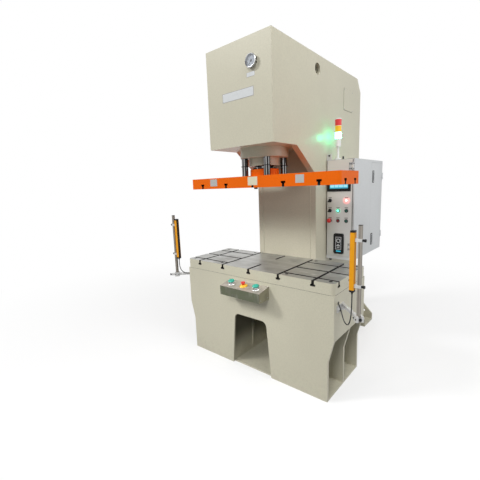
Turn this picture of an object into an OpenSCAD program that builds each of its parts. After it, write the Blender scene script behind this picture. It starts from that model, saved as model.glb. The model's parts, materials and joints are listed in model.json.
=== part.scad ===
// Hydraulic C-frame press with a rod-guided platen, two-hand console,
// control cabinet and light curtains. Millimetres, +Z up.
// The origin is on the floor, straight under the ram axis. The operator stands at -Y.

/* [Bed] */
// Width of the bed and of the work table
bed_w = 1404; // [1300:1:1700]
// Depth of the bed, front face to column face
bed_d = 548; // [500:1:640]
// Distance from the ram axis to the front face of the bed
ram_to_front = 250; // [220:1:280]
// Height of the work surface above the floor
table_h = 850; // [800:1:950]
// Thickness of the work table
table_t = 80; // [65:1:110]
// Radius of the table corners
table_r = 26; // [10:1:40]
// Thickness of the upright plates of the bed
bed_t = 20; // [12:1:30]
// Thickness of the floor plate of the bed
base_t = 12; // [8:1:20]
// Height at which the side plates end and the legs start to taper
leg_top = 450; // [400:1:500]
// Height at which the legs reach their foot width
leg_bottom = 289; // [230:1:340]
// Width of the bed at the floor
foot_w = 1322; // [1200:1:1400]
// Height of the arch through the front plate
arch_h = 452; // [380:1:520]
// Width of the arch at its top
arch_top_w = 314; // [240:1:360]
// Width of the arch at the floor
arch_foot_w = 392; // [340:1:440]
// Radius of the upper corners of the arch
arch_r = 45; // [20:1:70]
// Thickness of the walls beside the arch
arch_wall_t = 12; // [8:1:20]

/* [T-slots] */
// Spacing of the slots that run front to back
slot_pitch = 275; // [240:1:290]
// Width of the slot neck
slot_neck_w = 20; // [14:1:24]
// Width of the slot foot
slot_foot_w = 38; // [30:1:44]
// Height of the slot foot
slot_foot_h = 15; // [10:1:18]
// Whole depth of a slot
slot_depth = 40; // [32:1:46]
// Spacing of the cross slots of the table
cross_pitch = 178; // [160:1:184]
// Length of the short slots at the middle of the table
stub_len = 168; // [120:1:200]
// Distance of the table bolts from the table edges
bolt_inset = 45; // [36:1:50]
// Diameter of a table bolt head
bolt_head_d = 24; // [20:1:30]
// Height of a table bolt head
bolt_head_h = 14; // [10:1:18]

/* [Column and head] */
// Width of the column and head
head_w = 584; // [540:1:640]
// Thickness of the two side plates
side_t = 50; // [40:1:60]
// Overhang of the head in front of the bed
head_over = 49; // [20:1:80]
// Height of the head's underside
head_z0 = 1766; // [1740:1:1800]
// Height of the top of the machine
head_z1 = 2459; // [2440:1:2560]
// Depth of the column behind the bed
column_d = 942; // [900:1:1000]
// Depth of the slope at the top rear
slope_d = 86; // [40:1:120]
// Drop of the slope at the top rear
slope_h = 111; // [60:1:150]
// Height at which the throat turns into the column
throat_z = 1556; // [1540:1:1600]
// Distance behind the ram axis at which the throat slope meets the head
throat_y = 5; // [-20:1:40]
// Thickness of the head's bottom plate
bottom_t = 50; // [40:1:60]
// Thickness of the front and top plates of the head
head_t = 20; // [12:1:25]
// Thickness of the plate that closes the column front
web_t = 30; // [20:1:40]
// Diameter of the lifting holes
lift_d = 86; // [60:1:100]
// Distance of the lifting holes behind the ram axis
lift_y = 326; // [300:1:420]
// Height of the lifting holes
lift_z = 2356; // [2340:1:2380]
// Width of the access panel on the right side
access_w = 204; // [160:1:240]
// Height of the access panel
access_h = 187; // [140:1:210]
// Distance of the access panel's centre behind the ram axis
access_y = 935; // [900:1:960]
// Height of the access panel's centre
access_z = 2225; // [2200:1:2240]
// Thickness of the access panel
access_t = 3; // [2:0.5:5]
// Margin of the access panel round its opening
access_lap = 20; // [12:1:30]

/* [Rear cover and feet] */
// Thickness of the rear cover
cover_t = 4; // [3:0.5:8]
// Height of the rear cover's lower edge
cover_z0 = 60; // [30:1:120]
// Number of louvres in a column
louvre_n = 9; // [4:1:12]
// Width of a louvre
louvre_w = 150; // [100:1:180]
// Spacing of the louvres
louvre_pitch = 36; // [30:1:45]
// Height of a louvre's opening
louvre_gap = 10; // [8:1:12]
// Reach of a rear foot beyond the column side
rear_foot_x = 168; // [140:1:200]
// Depth of a rear foot
rear_foot_d = 229; // [180:1:260]
// Reach of a rear foot behind the column
rear_foot_back = 48; // [20:1:70]
// Thickness of the rear foot plates
rear_foot_t = 16; // [12:1:20]
// Height of the gussets at the column
gusset_h = 237; // [180:1:260]
// Height of the gussets at their tip
gusset_tip = 72; // [40:1:100]
// Diameter of the holes in the gussets
gusset_hole_d = 25; // [16:1:30]
// Diameter of the anchor holes
anchor_d = 22; // [16:1:26]

/* [Cylinder and ram] */
// Bore of the cylinder
cyl_bore = 180; // [150:1:190]
// Outer diameter of the cylinder
cyl_d = 236; // [220:1:240]
// Diameter of the cylinder flange
flange_d = 374; // [370:1:390]
// Thickness of the cylinder flange
flange_t = 72; // [50:1:90]
// Height of the cylinder's lower end
hub_z = 1635; // [1630:1:1645]
// Length of the gland in the cylinder's lower end
gland_h = 62; // [50:1:66]
// Diameter of the piston rod
rod_d = 130; // [110:1:140]
// Height of the piston
piston_h = 90; // [70:1:100]
// Working stroke of the ram
stroke = 400; // [300:1:405]
// Thickness of the cylinder cap
cap_t = 40; // [30:1:50]
// Diameter of the cylinder cap
cap_d = 250; // [240:1:252]
// Diameter of the guide rods
guide_d = 50; // [40:1:52]
// Distance of the guide rods to each side of the ram axis
guide_x = 105; // [103:1:110]
// Distance of the guide rods in front of and behind the ram axis
guide_y = 115; // [110:1:117]
// Length of a guide bush above the head's bottom plate
bush_up = 84; // [60:1:100]
// Outer diameter of a guide bush
bush_d = 70; // [64:1:74]
// Radial running clearance
run_gap = 0.05; // [0.02:0.01:0.08]
// Width of the platen
platen_w = 1388; // [1200:1:1400]
// Depth of the platen
platen_d = 326; // [316:1:360]
// Height of the platen's underside with the ram up
platen_z = 1471; // [1460:1:1480]
// Thickness of the platen
platen_t = 88; // [80:1:90]
// Radius of the platen corners
platen_r = 24; // [10:1:40]
// Distance of the platen's cross slots from its middle
platen_cross = 82; // [60:1:95]
// Diameter of the rod flange on the platen
rod_flange_d = 226; // [200:1:230]
// Height of the rod flange
rod_flange_h = 50; // [40:1:60]
// Diameter of the circle of rod flange screws
screw_circle = 174; // [165:1:185]
// Diameter of a rod flange screw head
screw_head_d = 24; // [18:1:26]
// Height of a rod flange screw head
screw_head_h = 11; // [8:1:12]

/* [Oil unit] */
// Height of the oil tank's underside
tank_z = 140; // [60:1:200]
// Height of the oil tank
tank_h = 560; // [450:1:640]
// Depth of the oil tank
tank_d = 760; // [600:1:820]
// Thickness of the tank wall
tank_wall = 5; // [4:1:8]
// Diameter of the motor body
motor_d = 230; // [200:1:260]
// Height of the motor body
motor_h = 300; // [240:1:360]
// Diameter of the motor shaft
shaft_d = 38; // [28:1:42]
// Outer diameter of the oil pipes
pipe_d = 30; // [20:1:34]

/* [Gauge and plates] */
// Diameter of the pressure gauge
gauge_d = 88; // [80:1:110]
// Depth of the gauge in front of the head
gauge_h = 26; // [24:1:40]
// Distance of the gauge to the right of the middle
gauge_x = 138; // [100:1:160]
// Height of the gauge's centre
gauge_z = 2294; // [2260:1:2340]
// Width of the nameplate
name_w = 285; // [200:1:320]
// Height of the nameplate
name_h = 61; // [40:1:80]
// Height of the nameplate's centre
name_z = 2112; // [2080:1:2140]
// Thickness of the plates and tags
tag_t = 1; // [0.6:0.1:2]

/* [Cabinet] */
// Gap between the column and the cabinet
cab_gap = 6; // [4:1:12]
// Width of the cabinet
cab_w = 237; // [236:1:260]
// Depth of the cabinet
cab_d = 715; // [700:1:760]
// Distance of the cabinet front behind the ram axis
cab_y = 492; // [480:1:520]
// Height of the cabinet's underside
cab_z0 = 828; // [822:1:832]
// Height of the cabinet's top
cab_z1 = 1672; // [1650:1:1700]
// Thickness of the cabinet walls
cab_wall = 3; // [2:0.5:4]
// Width of the fixed strip right of the door
cab_strip = 11; // [9:1:14]
// Gap round the doors
door_gap = 1.5; // [1:0.5:3]
// Thickness of a folded door
door_t = 18; // [14:1:24]
// Thickness of the door sheet
door_sheet = 2; // [1.5:0.5:3]
// Clear height of the door above the work table
door_lift = 5; // [4:1:10]
// Depth of the side door
side_door_d = 306; // [280:1:310]
// Margin of the side door to the cabinet's ends
side_door_edge = 22; // [16:1:30]
// Distance of the first control column from the column side
ctrl_x = 36; // [30:1:40]
// Spacing of the controls across the door
ctrl_dx = 72; // [68:1:74]
// Spacing of the control rows
ctrl_dz = 86; // [76:1:92]
// Height of the upper control row
ctrl_z = 1335; // [1325:1:1345]
// Diameter of a control hole
ctrl_d = 22; // [20:0.5:26]
// Diameter of a control ring
ring_d = 29; // [27:1:34]
// Reach of a control ring in front of the door
ring_h = 5; // [4:1:8]
// Diameter of the cabinet's stop button
estop_d = 38; // [32:1:42]
// Travel of a push button
push_travel = 3; // [2:0.5:4]
// Width of the operator panel
hmi_w = 202; // [180:1:204]
// Height of the operator panel
hmi_h = 146; // [120:1:160]
// Height of the operator panel's lower edge
hmi_z = 1410; // [1405:1:1430]
// Reach of the operator panel in front of the door
hmi_t = 6; // [4:1:8]
// Width of the socket frame
port_w = 88; // [70:1:100]
// Height of the socket frame
port_h = 176; // [140:1:190]
// Height of the socket frame's lower edge
port_z = 878; // [870:1:900]

/* [Stack light] */
// Diameter of the stack light lenses
lens_d = 52; // [40:1:60]
// Height of one lens
lens_h = 52; // [40:1:60]
// Height of the stack light's lower tube
stack_tube_h = 169; // [120:1:200]
// Distance of the stack light from the column side
stack_x = 82; // [60:1:110]
// Distance of the stack light behind the cabinet front
stack_y = 42; // [34:1:80]

/* [Two-hand console] */
// Width of the console
con_w = 386; // [340:1:420]
// Depth of the console
con_d = 122; // [100:1:150]
// Height of the console's underside
con_z0 = 645; // [600:1:660]
// Height of the console's front
con_front_h = 72; // [60:1:90]
// Height of the console's rear
con_rear_h = 98; // [92:1:110]
// Thickness of the console sheet
con_t = 2.5; // [2:0.5:4]
// Distance of a palm button from the middle
palm_x = 121; // [100:1:140]
// Diameter of a palm button
palm_d = 42; // [36:1:50]
// Travel of a palm button
palm_travel = 6; // [4:0.5:8]
// Diameter of the stop button's yellow collar
collar_d = 62; // [50:1:70]

/* [Light curtains] */
// Height of the curtain arms
arm_z = 690; // [670:1:700]
// Distance of the arm pivots behind the bed front
arm_y = 110; // [90:1:140]
// Distance of the arm pivots from the bed side
arm_off = 12; // [12:1:20]
// Angle of the arms, swung forward
arm_angle = 45; // [30:1:60]
// Length of an arm
arm_len = 244; // [242:1:270]
// Reach of the right arm to its post
reach_right = 230; // [200:1:232]
// Reach of the left arm to its post
reach_left = 192; // [180:1:210]
// Side of the square posts
post_w = 20; // [16:1:24]
// Height of the post tops
post_z1 = 1244; // [1220:1:1270]
// Offset of a curtain from its post
bar_off = 42; // [38:1:46]
// Width of a curtain
bar_w = 28; // [24:1:30]
// Depth of a curtain
bar_d = 30; // [26:1:34]
// Height of a curtain's lower end
bar_z0 = 843; // [838:1:856]
// Height of a curtain's upper end
bar_z1 = 1212; // [1190:1:1218]
// Height of a curtain's end caps
bar_cap = 13; // [8:1:16]
// Diameter of the curtain cables
cable_d = 7; // [6:0.5:9]

/* [Hidden] */
$fn = 48;
eps = 0.5;
front_y = -ram_to_front;
face_y = bed_d - ram_to_front;
rear_y = face_y + column_d;
head_y = front_y - head_over;
half_w = head_w / 2;
inner_x = half_w - side_t;
table_z = table_h - table_t;
slot_x = [-2 * slot_pitch, -slot_pitch, slot_pitch, 2 * slot_pitch];
bolt_y = [front_y + bolt_inset, face_y - bolt_inset];
bolt_x = [-bed_w / 2 + bolt_inset, -slot_pitch - bolt_inset,
          slot_pitch + bolt_inset, bed_w / 2 - bolt_inset];
flange_z = head_z0 - flange_t;
platen_top = platen_z + platen_t;
rod_seat = 10;
piston_z0 = hub_z + gland_h + 10 + stroke;
cap_z = piston_z0 + piston_h + 30;
guide_seat = 20;
guide_top = head_z0 + bottom_t + bush_up + stroke + 30;
tank_y = face_y + web_t + 40;
tank_top = tank_z + tank_h;
unit_y = tank_y + 0.42 * tank_d;
block = [240, 150, 120];
block_y = tank_y + 0.82 * tank_d;
oil_port_z = head_z0 + bottom_t + bush_up + 40;
boss_x = cyl_d / 2 + 2;
cab_x0 = half_w + cab_gap;
cab_x1 = cab_x0 + cab_w;
cab_y1 = cab_y + cab_d;
door_x1 = cab_x1 - cab_strip - door_gap;
door_x0 = cab_x0 + door_gap;
door_z0 = table_h + door_lift;
door_z1 = cab_z1 - cab_wall - door_gap;
pin_d = 6;
pin_x = cab_x1 - cab_strip - door_gap / 2;
pin_y = cab_y - 5;
side_y1 = cab_y1 - 12;
side_y0 = side_y1 - side_door_d;
side_z0 = cab_z0 + side_door_edge;
side_z1 = cab_z1 - side_door_edge;
side_pin_x = cab_x1 + 5;
side_pin_y = side_y1 + 3;
ctrl_cols = [half_w + ctrl_x, half_w + ctrl_x + ctrl_dx, half_w + ctrl_x + 2 * ctrl_dx];
ctrl_rows = [ctrl_z, ctrl_z - ctrl_dz, ctrl_z - 2 * ctrl_dz];
hmi_x = half_w + 113;
port_x = half_w + 118;
con_angle = atan((con_rear_h - con_front_h) / con_d);
con_mid_z = con_z0 + (con_front_h + con_rear_h) / 2;
con_mid_y = front_y - con_d / 2;
pivot_x = bed_w / 2 + arm_off;
pivot_y = front_y + arm_y;
arm_h = 20;
arm_w = 18;
clamp_z = [bar_z0 + 40, bar_z1 - 56];
gland_len = 16;
cable_z = 707;
cable_y = front_y + 63;
left_route = [
    [-808, -276, 827], [-808, -276, 790], [-805, -273, 755], [-795, -265, 726], [-777, -250, 706],
    [-753, -230, 698], [-727, -208, 700], [-702, -187, 707]
];
right_route = [
    [835, -303, 827], [835, -303, 780], [833, -301, 730], [828, -297, 680], [818, -289, 640],
    [803, -276, 617], [783, -258, 611], [763, -241, 622], [745, -225, 648], [727, -209, 680],
    [702, -187, 707]
];
beige = [0.78, 0.76, 0.68];
steel = [0.62, 0.63, 0.62];
orange = [0.92, 0.42, 0.14];
black = [0.07, 0.07, 0.08];

// Rounded rectangle, centred on the origin
module rounded_rect(w, d, r) {
    square([w - 2 * r, d], center = true);
    square([w, d - 2 * r], center = true);
    for (sx = [-1, 1], sy = [-1, 1])
        translate([sx * (w / 2 - r), sy * (d / 2 - r)])
            circle(r = r);
}

// Slot profile with its neck at y = 0 and its foot below
module slot_profile() {
    translate([-slot_neck_w / 2, -slot_depth])
        square([slot_neck_w, slot_depth + eps]);
    translate([-slot_foot_w / 2, -slot_depth])
        square([slot_foot_w, slot_foot_h]);
}

// Slot cutter that runs along Y from y0 to y1 in a top face at z
module slot_y(x, y0, y1, z) {
    translate([x, y1, z])
        rotate([90, 0, 0])
            linear_extrude(y1 - y0)
                slot_profile();
}

// Slot cutter that runs along X from x0 to x1 in a top face at z
module slot_cross(x0, x1, y, z) {
    translate([x0, y, z])
        rotate([90, 0, 90])
            linear_extrude(x1 - x0)
                slot_profile();
}

// Upright plate across the machine from a profile in X and Z
module plate_xz(y, t) {
    translate([0, y + t, 0])
        rotate([90, 0, 0])
            linear_extrude(t)
                children();
}

// Upright plate along the machine from a profile in Y and Z
module plate_yz(x, t) {
    translate([x, 0, 0])
        rotate([90, 0, 90])
            linear_extrude(t)
                children();
}

module at_guides() {
    for (sx = [-1, 1], sy = [-1, 1])
        translate([sx * guide_x, sy * guide_y, 0])
            children();
}

// Points of an arc about c
function arc(c, r, a0, a1, n) =
    [for (i = [0 : n]) c + r * [cos(a0 + (a1 - a0) * i / n), sin(a0 + (a1 - a0) * i / n)]];

// Bed
module arch_profile() {
    lean = atan((arch_foot_w - arch_top_w) / 2 / arch_h);
    cx = arch_top_w / 2 + arch_r * tan(lean) - arch_r / cos(lean);
    right = concat(
        [[arch_foot_w / 2, -eps]],
        arc([cx, arch_h - arch_r], arch_r, lean, 90, 8)
    );
    left = [for (i = [len(right) - 1 : -1 : 0]) [-right[i][0], right[i][1]]];
    polygon(concat(right, left));
}

module leg_profile(top_half, z0) {
    polygon([
        [-foot_w / 2, z0], [foot_w / 2, z0], [foot_w / 2, leg_bottom], [bed_w / 2, leg_top],
        [top_half, leg_top], [top_half, table_z], [-top_half, table_z], [-top_half, leg_top],
        [-bed_w / 2, leg_top], [-foot_w / 2, leg_bottom]
    ]);
}

module base_plate() {
    color(beige)
        translate([-foot_w / 2, front_y + bed_t, 0])
            cube([foot_w, bed_d - bed_t, base_t]);
}

module bed_front_plate() {
    color(beige)
        plate_xz(front_y, bed_t)
            difference() {
                leg_profile(bed_w / 2, 0);
                arch_profile();
            }
}

rib_y = (front_y + bed_t + face_y - bed_t) / 2 - bed_t / 2;

module bed_ribs() {
    color(beige) {
        plate_xz(rib_y, bed_t)
            difference() {
                leg_profile(bed_w / 2 - bed_t, base_t);
                arch_profile();
            }
        plate_xz(face_y - bed_t, bed_t)
            leg_profile(bed_w / 2 - bed_t, base_t);
    }
}

module bed_side_walls() {
    color(beige)
        for (s = [-1, 1]) {
            difference() {
                translate([s * (bed_w / 2 - bed_t / 2) - bed_t / 2, front_y + bed_t, leg_top])
                    cube([bed_t, bed_d - bed_t, table_z - leg_top]);
                translate([s * (bed_w / 2 - bed_t / 2), cable_y, cable_z])
                    rotate([0, 90, 0])
                        cylinder(d = cable_d + 1, h = 2 * bed_t, center = true);
            }
            for (span = [[front_y + bed_t, rib_y], [rib_y + bed_t, face_y - bed_t]])
                translate([s * (arch_foot_w + arch_wall_t) / 2 - arch_wall_t / 2, span[0], base_t])
                    cube([arch_wall_t, span[1] - span[0], arch_h]);
        }
}

module work_table() {
    top = table_h;
    inner = slot_pitch;
    color(steel)
        difference() {
            translate([0, (front_y + face_y) / 2, table_z])
                linear_extrude(table_t)
                    rounded_rect(bed_w, bed_d, table_r);
            for (x = slot_x)
                slot_y(x, front_y - eps, face_y + eps, top);
            slot_y(0, front_y - eps, front_y + stub_len, top);
            slot_y(0, face_y - stub_len, face_y + eps, top);
            for (k = [-1, 0, 1])
                for (s = [-1, 1])
                    slot_cross(s < 0 ? -bed_w / 2 - eps : inner, s < 0 ? -inner : bed_w / 2 + eps,
                               k * cross_pitch, top);
            for (x = bolt_x, y = bolt_y)
                translate([x, y, table_h - bolt_head_h - 4])
                    cylinder(d = bolt_head_d + 2, h = bolt_head_h + 4 + eps);
        }
}

module table_bolts() {
    color(black)
        for (x = bolt_x, y = bolt_y)
            translate([x, y, table_h - bolt_head_h - 4])
                difference() {
                    cylinder(d = bolt_head_d, h = bolt_head_h);
                    translate([0, 0, bolt_head_h / 2])
                        cylinder(d = bolt_head_d / 2, h = bolt_head_h, $fn = 6);
                }
}

// Column and head
module side_profile() {
    polygon([
        [face_y, 0], [rear_y, 0], [rear_y, head_z1 - slope_h], [rear_y - slope_d, head_z1],
        [head_y + head_t, head_z1], [head_y + head_t, head_z0], [throat_y, head_z0],
        [face_y, throat_z]
    ]);
}

module side_plate(x, window) {
    difference() {
        plate_yz(x, side_t)
            side_profile();
        translate([x - eps, lift_y, lift_z])
            rotate([0, 90, 0])
                cylinder(d = lift_d, h = side_t + 2 * eps);
        if (window)
            translate([x - eps, access_y - access_w / 2 + access_lap,
                       access_z - access_h / 2 + access_lap])
                cube([side_t + 2 * eps, access_w - 2 * access_lap, access_h - 2 * access_lap]);
    }
}

module column_side_left() {
    color(beige)
        side_plate(-half_w, false);
}

module column_side_right() {
    color(beige)
        side_plate(inner_x, true);
}

module column_web() {
    color(beige)
        translate([-inner_x, face_y, 0])
            cube([2 * inner_x, web_t, head_z0]);
}

module head_front_plate() {
    color(beige)
        difference() {
            translate([-half_w, head_y, head_z0])
                cube([head_w, head_t, head_z1 - head_z0]);
            translate([gauge_x, head_y - eps, gauge_z])
                rotate([-90, 0, 0])
                    cylinder(d = 22, h = head_t + 2 * eps);
        }
}

module head_bottom_plate() {
    color(beige)
        difference() {
            translate([-inner_x, head_y + head_t, head_z0])
                cube([2 * inner_x, face_y + web_t - head_y - head_t, bottom_t]);
            translate([0, 0, head_z0 - eps])
                cylinder(d = cyl_d + 0.4, h = bottom_t + 2 * eps, $fn = 96);
            at_guides()
                translate([0, 0, head_z0 - eps])
                    cylinder(d = bush_d, h = bottom_t + 2 * eps);
        }
}

module head_top_plate() {
    drop = head_t / cos(atan(slope_h / slope_d));
    color(beige)
        plate_yz(-inner_x, 2 * inner_x)
            polygon([
                [head_y + head_t, head_z1], [rear_y - slope_d, head_z1],
                [rear_y, head_z1 - slope_h], [rear_y, head_z1 - slope_h - drop],
                [rear_y - slope_d - head_t * 0.46, head_z1 - head_t], [head_y + head_t, head_z1 - head_t]
            ]);
}

module louvre_hood() {
    rotate([0, 90, 0])
        difference() {
            cylinder(d = 2 * louvre_gap, h = louvre_w, center = true);
            cylinder(d = 2 * louvre_gap - 2 * 2, h = louvre_w - 4, center = true);
            translate([0, -louvre_gap, -louvre_w])
                cube([2 * louvre_gap, 2 * louvre_gap, 2 * louvre_w]);
            translate([-2 * louvre_gap, -2 * louvre_gap, -louvre_w])
                cube([4 * louvre_gap, 2 * louvre_gap, 2 * louvre_w]);
        }
}

module louvre_column(x, z) {
    for (i = [0 : louvre_n - 1])
        translate([x, rear_y, z + i * louvre_pitch])
            children();
}

module rear_cover() {
    drop = head_t / cos(atan(slope_h / slope_d));
    top = head_z1 - slope_h - drop;
    color(beige) {
        difference() {
            translate([-inner_x, rear_y - cover_t, cover_z0])
                cube([2 * inner_x, cover_t, top - cover_z0]);
            for (x = [-1, 1] * (louvre_w / 2 + 25), z = [table_h, head_z0])
                louvre_column(x, z)
                    translate([-louvre_w / 2 + 2, -cover_t - eps, -1])
                        cube([louvre_w - 4, cover_t + 2 * eps, louvre_gap - 2]);
        }
        for (x = [-1, 1] * (louvre_w / 2 + 25), z = [table_h, head_z0])
            louvre_column(x, z)
                louvre_hood();
    }
}

module access_panel() {
    color(beige)
        translate([half_w, access_y - access_w / 2, access_z - access_h / 2])
            cube([access_t, access_w, access_h]);
}

module rear_foot() {
    y1 = rear_y + rear_foot_back;
    y0 = y1 - rear_foot_d;
    difference() {
        translate([half_w, y0, 0])
            cube([rear_foot_x, rear_foot_d, rear_foot_t]);
        translate([half_w + 0.62 * rear_foot_x, (y0 + rear_y) / 2, -eps])
            cylinder(d = anchor_d, h = rear_foot_t + 2 * eps);
    }
    translate([half_w, y0, rear_foot_t - eps])
        cube([rear_foot_t, rear_foot_d, gusset_h - rear_foot_t]);
    for (y = [y0, y1 - rear_foot_t])
        plate_xz(y, rear_foot_t)
            difference() {
                polygon([
                    [half_w + rear_foot_t - eps, rear_foot_t - eps],
                    [half_w + rear_foot_x, rear_foot_t - eps],
                    [half_w + rear_foot_x, gusset_tip], [half_w + rear_foot_t - eps, gusset_h - eps]
                ]);
                translate([half_w + rear_foot_x / 2, (gusset_tip + gusset_h) / 2 - 2.5 * gusset_hole_d])
                    circle(d = gusset_hole_d);
            }
}

module rear_feet() {
    color(beige)
        for (s = [0, 1])
            mirror([s, 0, 0])
                rear_foot();
}

// Cylinder
module cylinder_barrel() {
    color(beige)
        difference() {
            union() {
                rotate_extrude($fn = 96)
                    polygon([
                        [cyl_bore / 2, hub_z], [cyl_d / 2, hub_z], [cyl_d / 2, flange_z],
                        [flange_d / 2 - 3, flange_z], [flange_d / 2, flange_z + 3],
                        [flange_d / 2, head_z0], [cyl_d / 2, head_z0], [cyl_d / 2, cap_z],
                        [cyl_bore / 2, cap_z]
                    ]);
                translate([-boss_x, 0, oil_port_z])
                    rotate([0, 90, 0])
                        cylinder(d = pipe_d + 20, h = boss_x - cyl_bore / 2 - 8);
            }
            at_guides()
                translate([0, 0, flange_z - eps])
                    cylinder(d = guide_d + 4, h = flange_t + 2 * eps);
            translate([-boss_x - eps, 0, oil_port_z])
                rotate([0, 90, 0])
                    cylinder(d = pipe_d - 8, h = boss_x);
        }
}

module cylinder_cap() {
    color(steel)
        difference() {
            union() {
                translate([0, 0, cap_z])
                    cylinder(d = cap_d, h = cap_t, $fn = 96);
                translate([0, 0, cap_z - 12])
                    cylinder(d = cyl_bore - 0.2, h = 12 + eps, $fn = 96);
            }
            translate([0, 0, cap_z - 12 - eps])
                cylinder(d = pipe_d - 8, h = cap_t + 12 + 2 * eps);
        }
}

module guide_bushes() {
    color([0.72, 0.55, 0.28]) {
        at_guides()
            difference() {
                union() {
                    translate([0, 0, head_z0])
                        cylinder(d = bush_d, h = bottom_t + bush_up);
                }
                translate([0, 0, head_z0 - eps])
                    cylinder(d = guide_d + 2 * run_gap, h = bottom_t + bush_up + 2 * eps);
            }
        difference() {
            translate([0, 0, hub_z])
                cylinder(d = cyl_bore, h = gland_h, $fn = 96);
            translate([0, 0, hub_z - eps])
                cylinder(d = rod_d + 2 * run_gap, h = gland_h + 2 * eps, $fn = 96);
        }
    }
}

// Oil unit
module oil_tank() {
    color([0.45, 0.50, 0.52])
        difference() {
            translate([-inner_x, tank_y, tank_z])
                cube([2 * inner_x, tank_d, tank_h]);
            translate([-inner_x + tank_wall, tank_y + tank_wall, tank_z + tank_wall])
                cube([2 * (inner_x - tank_wall), tank_d - 2 * tank_wall, tank_h - 2 * tank_wall]);
            translate([0, unit_y, tank_top - tank_wall - eps])
                cylinder(d = motor_d * 0.7, h = tank_wall + 2 * eps);
        }
}

module pump_motor() {
    fins = 24;
    color([0.30, 0.38, 0.45])
        translate([0, unit_y, tank_top])
            difference() {
                union() {
                    cylinder(d = motor_d * 1.2, h = 18);
                    cylinder(d = motor_d * 0.86, h = motor_h);
                    for (i = [0 : fins - 1])
                        rotate([0, 0, i * 360 / fins])
                            translate([0, -2, 18])
                                cube([motor_d / 2, 4, motor_h - 48]);
                    translate([motor_d / 2 - 30, -50, motor_h * 0.4])
                        cube([60, 100, 90]);
                    difference() {
                        translate([0, 0, motor_h - 20])
                            cylinder(d = motor_d * 0.96, h = 90);
                        translate([0, 0, motor_h])
                            cylinder(d = motor_d * 0.96 - 6, h = 67);
                        for (i = [0 : 11])
                            rotate([0, 0, i * 30])
                                translate([motor_d * 0.3, 0, motor_h + 60])
                                    cylinder(d = 22, h = 20);
                    }
                }
                translate([0, 0, -eps])
                    cylinder(d = shaft_d + 2 * run_gap, h = motor_h + 2 * eps);
            }
}

module motor_shaft() {
    color(steel)
        translate([0, unit_y, 0]) {
            translate([0, 0, tank_top - 80])
                cylinder(d = shaft_d, h = motor_h + 130);
            for (i = [0 : 5])
                rotate([0, 0, i * 60])
                    translate([shaft_d / 2 - 4, -1.5, tank_top + motor_h + 8])
                        cube([motor_d * 0.27, 3, 40]);
        }
}

module oil_pump() {
    color([0.35, 0.36, 0.38])
        translate([0, unit_y, 0]) {
            difference() {
                translate([0, 0, tank_top - 260])
                    cylinder(d = motor_d * 0.6, h = 200);
                translate([0, 0, tank_top - 81])
                    cylinder(d = shaft_d + 2 * run_gap, h = 40);
            }
            difference() {
                translate([0, 0, tank_top - 60])
                    cylinder(d = motor_d * 0.68, h = 60);
                translate([0, 0, tank_top - 60 - eps])
                    cylinder(d = motor_d * 0.5, h = 60 + 2 * eps);
            }
            translate([0, 0, tank_z + tank_wall])
                cylinder(d = 70, h = tank_top - 260 - tank_z - tank_wall);
        }
}

module valve_block() {
    color([0.55, 0.57, 0.60]) {
        translate([-block[0] / 2, block_y - block[1] / 2, tank_top])
            cube(block);
        for (i = [-1, 0, 1])
            translate([i * 75, block_y, tank_top + block[2]]) {
                translate([-24, -45, 0])
                    cube([48, 90, 50]);
                translate([0, 45, 26])
                    rotate([-90, 0, 0])
                        cylinder(d = 44, h = 62);
                translate([0, -45, 26])
                    rotate([90, 0, 0])
                        cylinder(d = 44, h = 62);
            }
    }
}

// Frame that puts the local X and Y axes on the directions u and v at the point p
module on_axes(p, u, v) {
    w = cross(u, v);
    multmatrix([
        [u[0], v[0], w[0], p[0]], [u[1], v[1], w[1], p[1]], [u[2], v[2], w[2], p[2]], [0, 0, 0, 1]
    ])
        children();
}

// Pipe through square corners of bend radius r, along lines that follow the axes
module bent_pipe(points, r) {
    last = len(points) - 1;
    way = [for (i = [0 : last - 1]) (points[i + 1] - points[i]) / norm(points[i + 1] - points[i])];
    for (i = [0 : last - 1]) {
        a = points[i] + (i == 0 ? 0 : r) * way[i];
        b = points[i + 1] - (i == last - 1 ? 0 : r) * way[i];
        side = abs(way[i][2]) > 0.5 ? [1, 0, 0] : [0, 0, 1];
        if (norm(b - a) > eps)
            on_axes(a, side, cross(way[i], side))
                cylinder(d = pipe_d, h = norm(b - a));
    }
    for (i = [1 : last - 1])
        on_axes(points[i] - r * way[i - 1] + r * way[i], -way[i], way[i - 1])
            rotate_extrude(angle = 90)
                translate([r, 0])
                    circle(d = pipe_d);
}

module oil_pipes() {
    r = 50;
    x_side = block[0] / 2 + r;
    z_block = tank_top + block[2] / 2;
    z_over = cap_z + cap_t + r + 10;
    color(steel) {
        bent_pipe([
            [-block[0] / 2, block_y, z_block], [-x_side - 5, block_y, z_block],
            [-x_side - 5, block_y, oil_port_z], [-x_side - 5, 0, oil_port_z], [-boss_x, 0, oil_port_z]
        ], r);
        bent_pipe([
            [block[0] / 2, block_y, z_block], [x_side + 5, block_y, z_block],
            [x_side + 5, block_y, z_over], [x_side + 5, 0, z_over], [0, 0, z_over],
            [0, 0, cap_z + cap_t]
        ], r);
    }
}

// Ram
module piston_rod() {
    color(steel) {
        translate([0, 0, platen_top - rod_seat])
            cylinder(d = rod_d, h = piston_z0 - platen_top + rod_seat, $fn = 96);
        translate([0, 0, piston_z0])
            cylinder(d = cyl_bore - 2 * run_gap, h = piston_h, $fn = 96);
    }
}

module rod_flange() {
    color(orange)
        difference() {
            translate([0, 0, platen_top])
                cylinder(d = rod_flange_d, h = rod_flange_h, $fn = 96);
            translate([0, 0, platen_top - eps])
                cylinder(d = rod_d + 0.4, h = rod_flange_h + 2 * eps, $fn = 96);
        }
}

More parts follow.
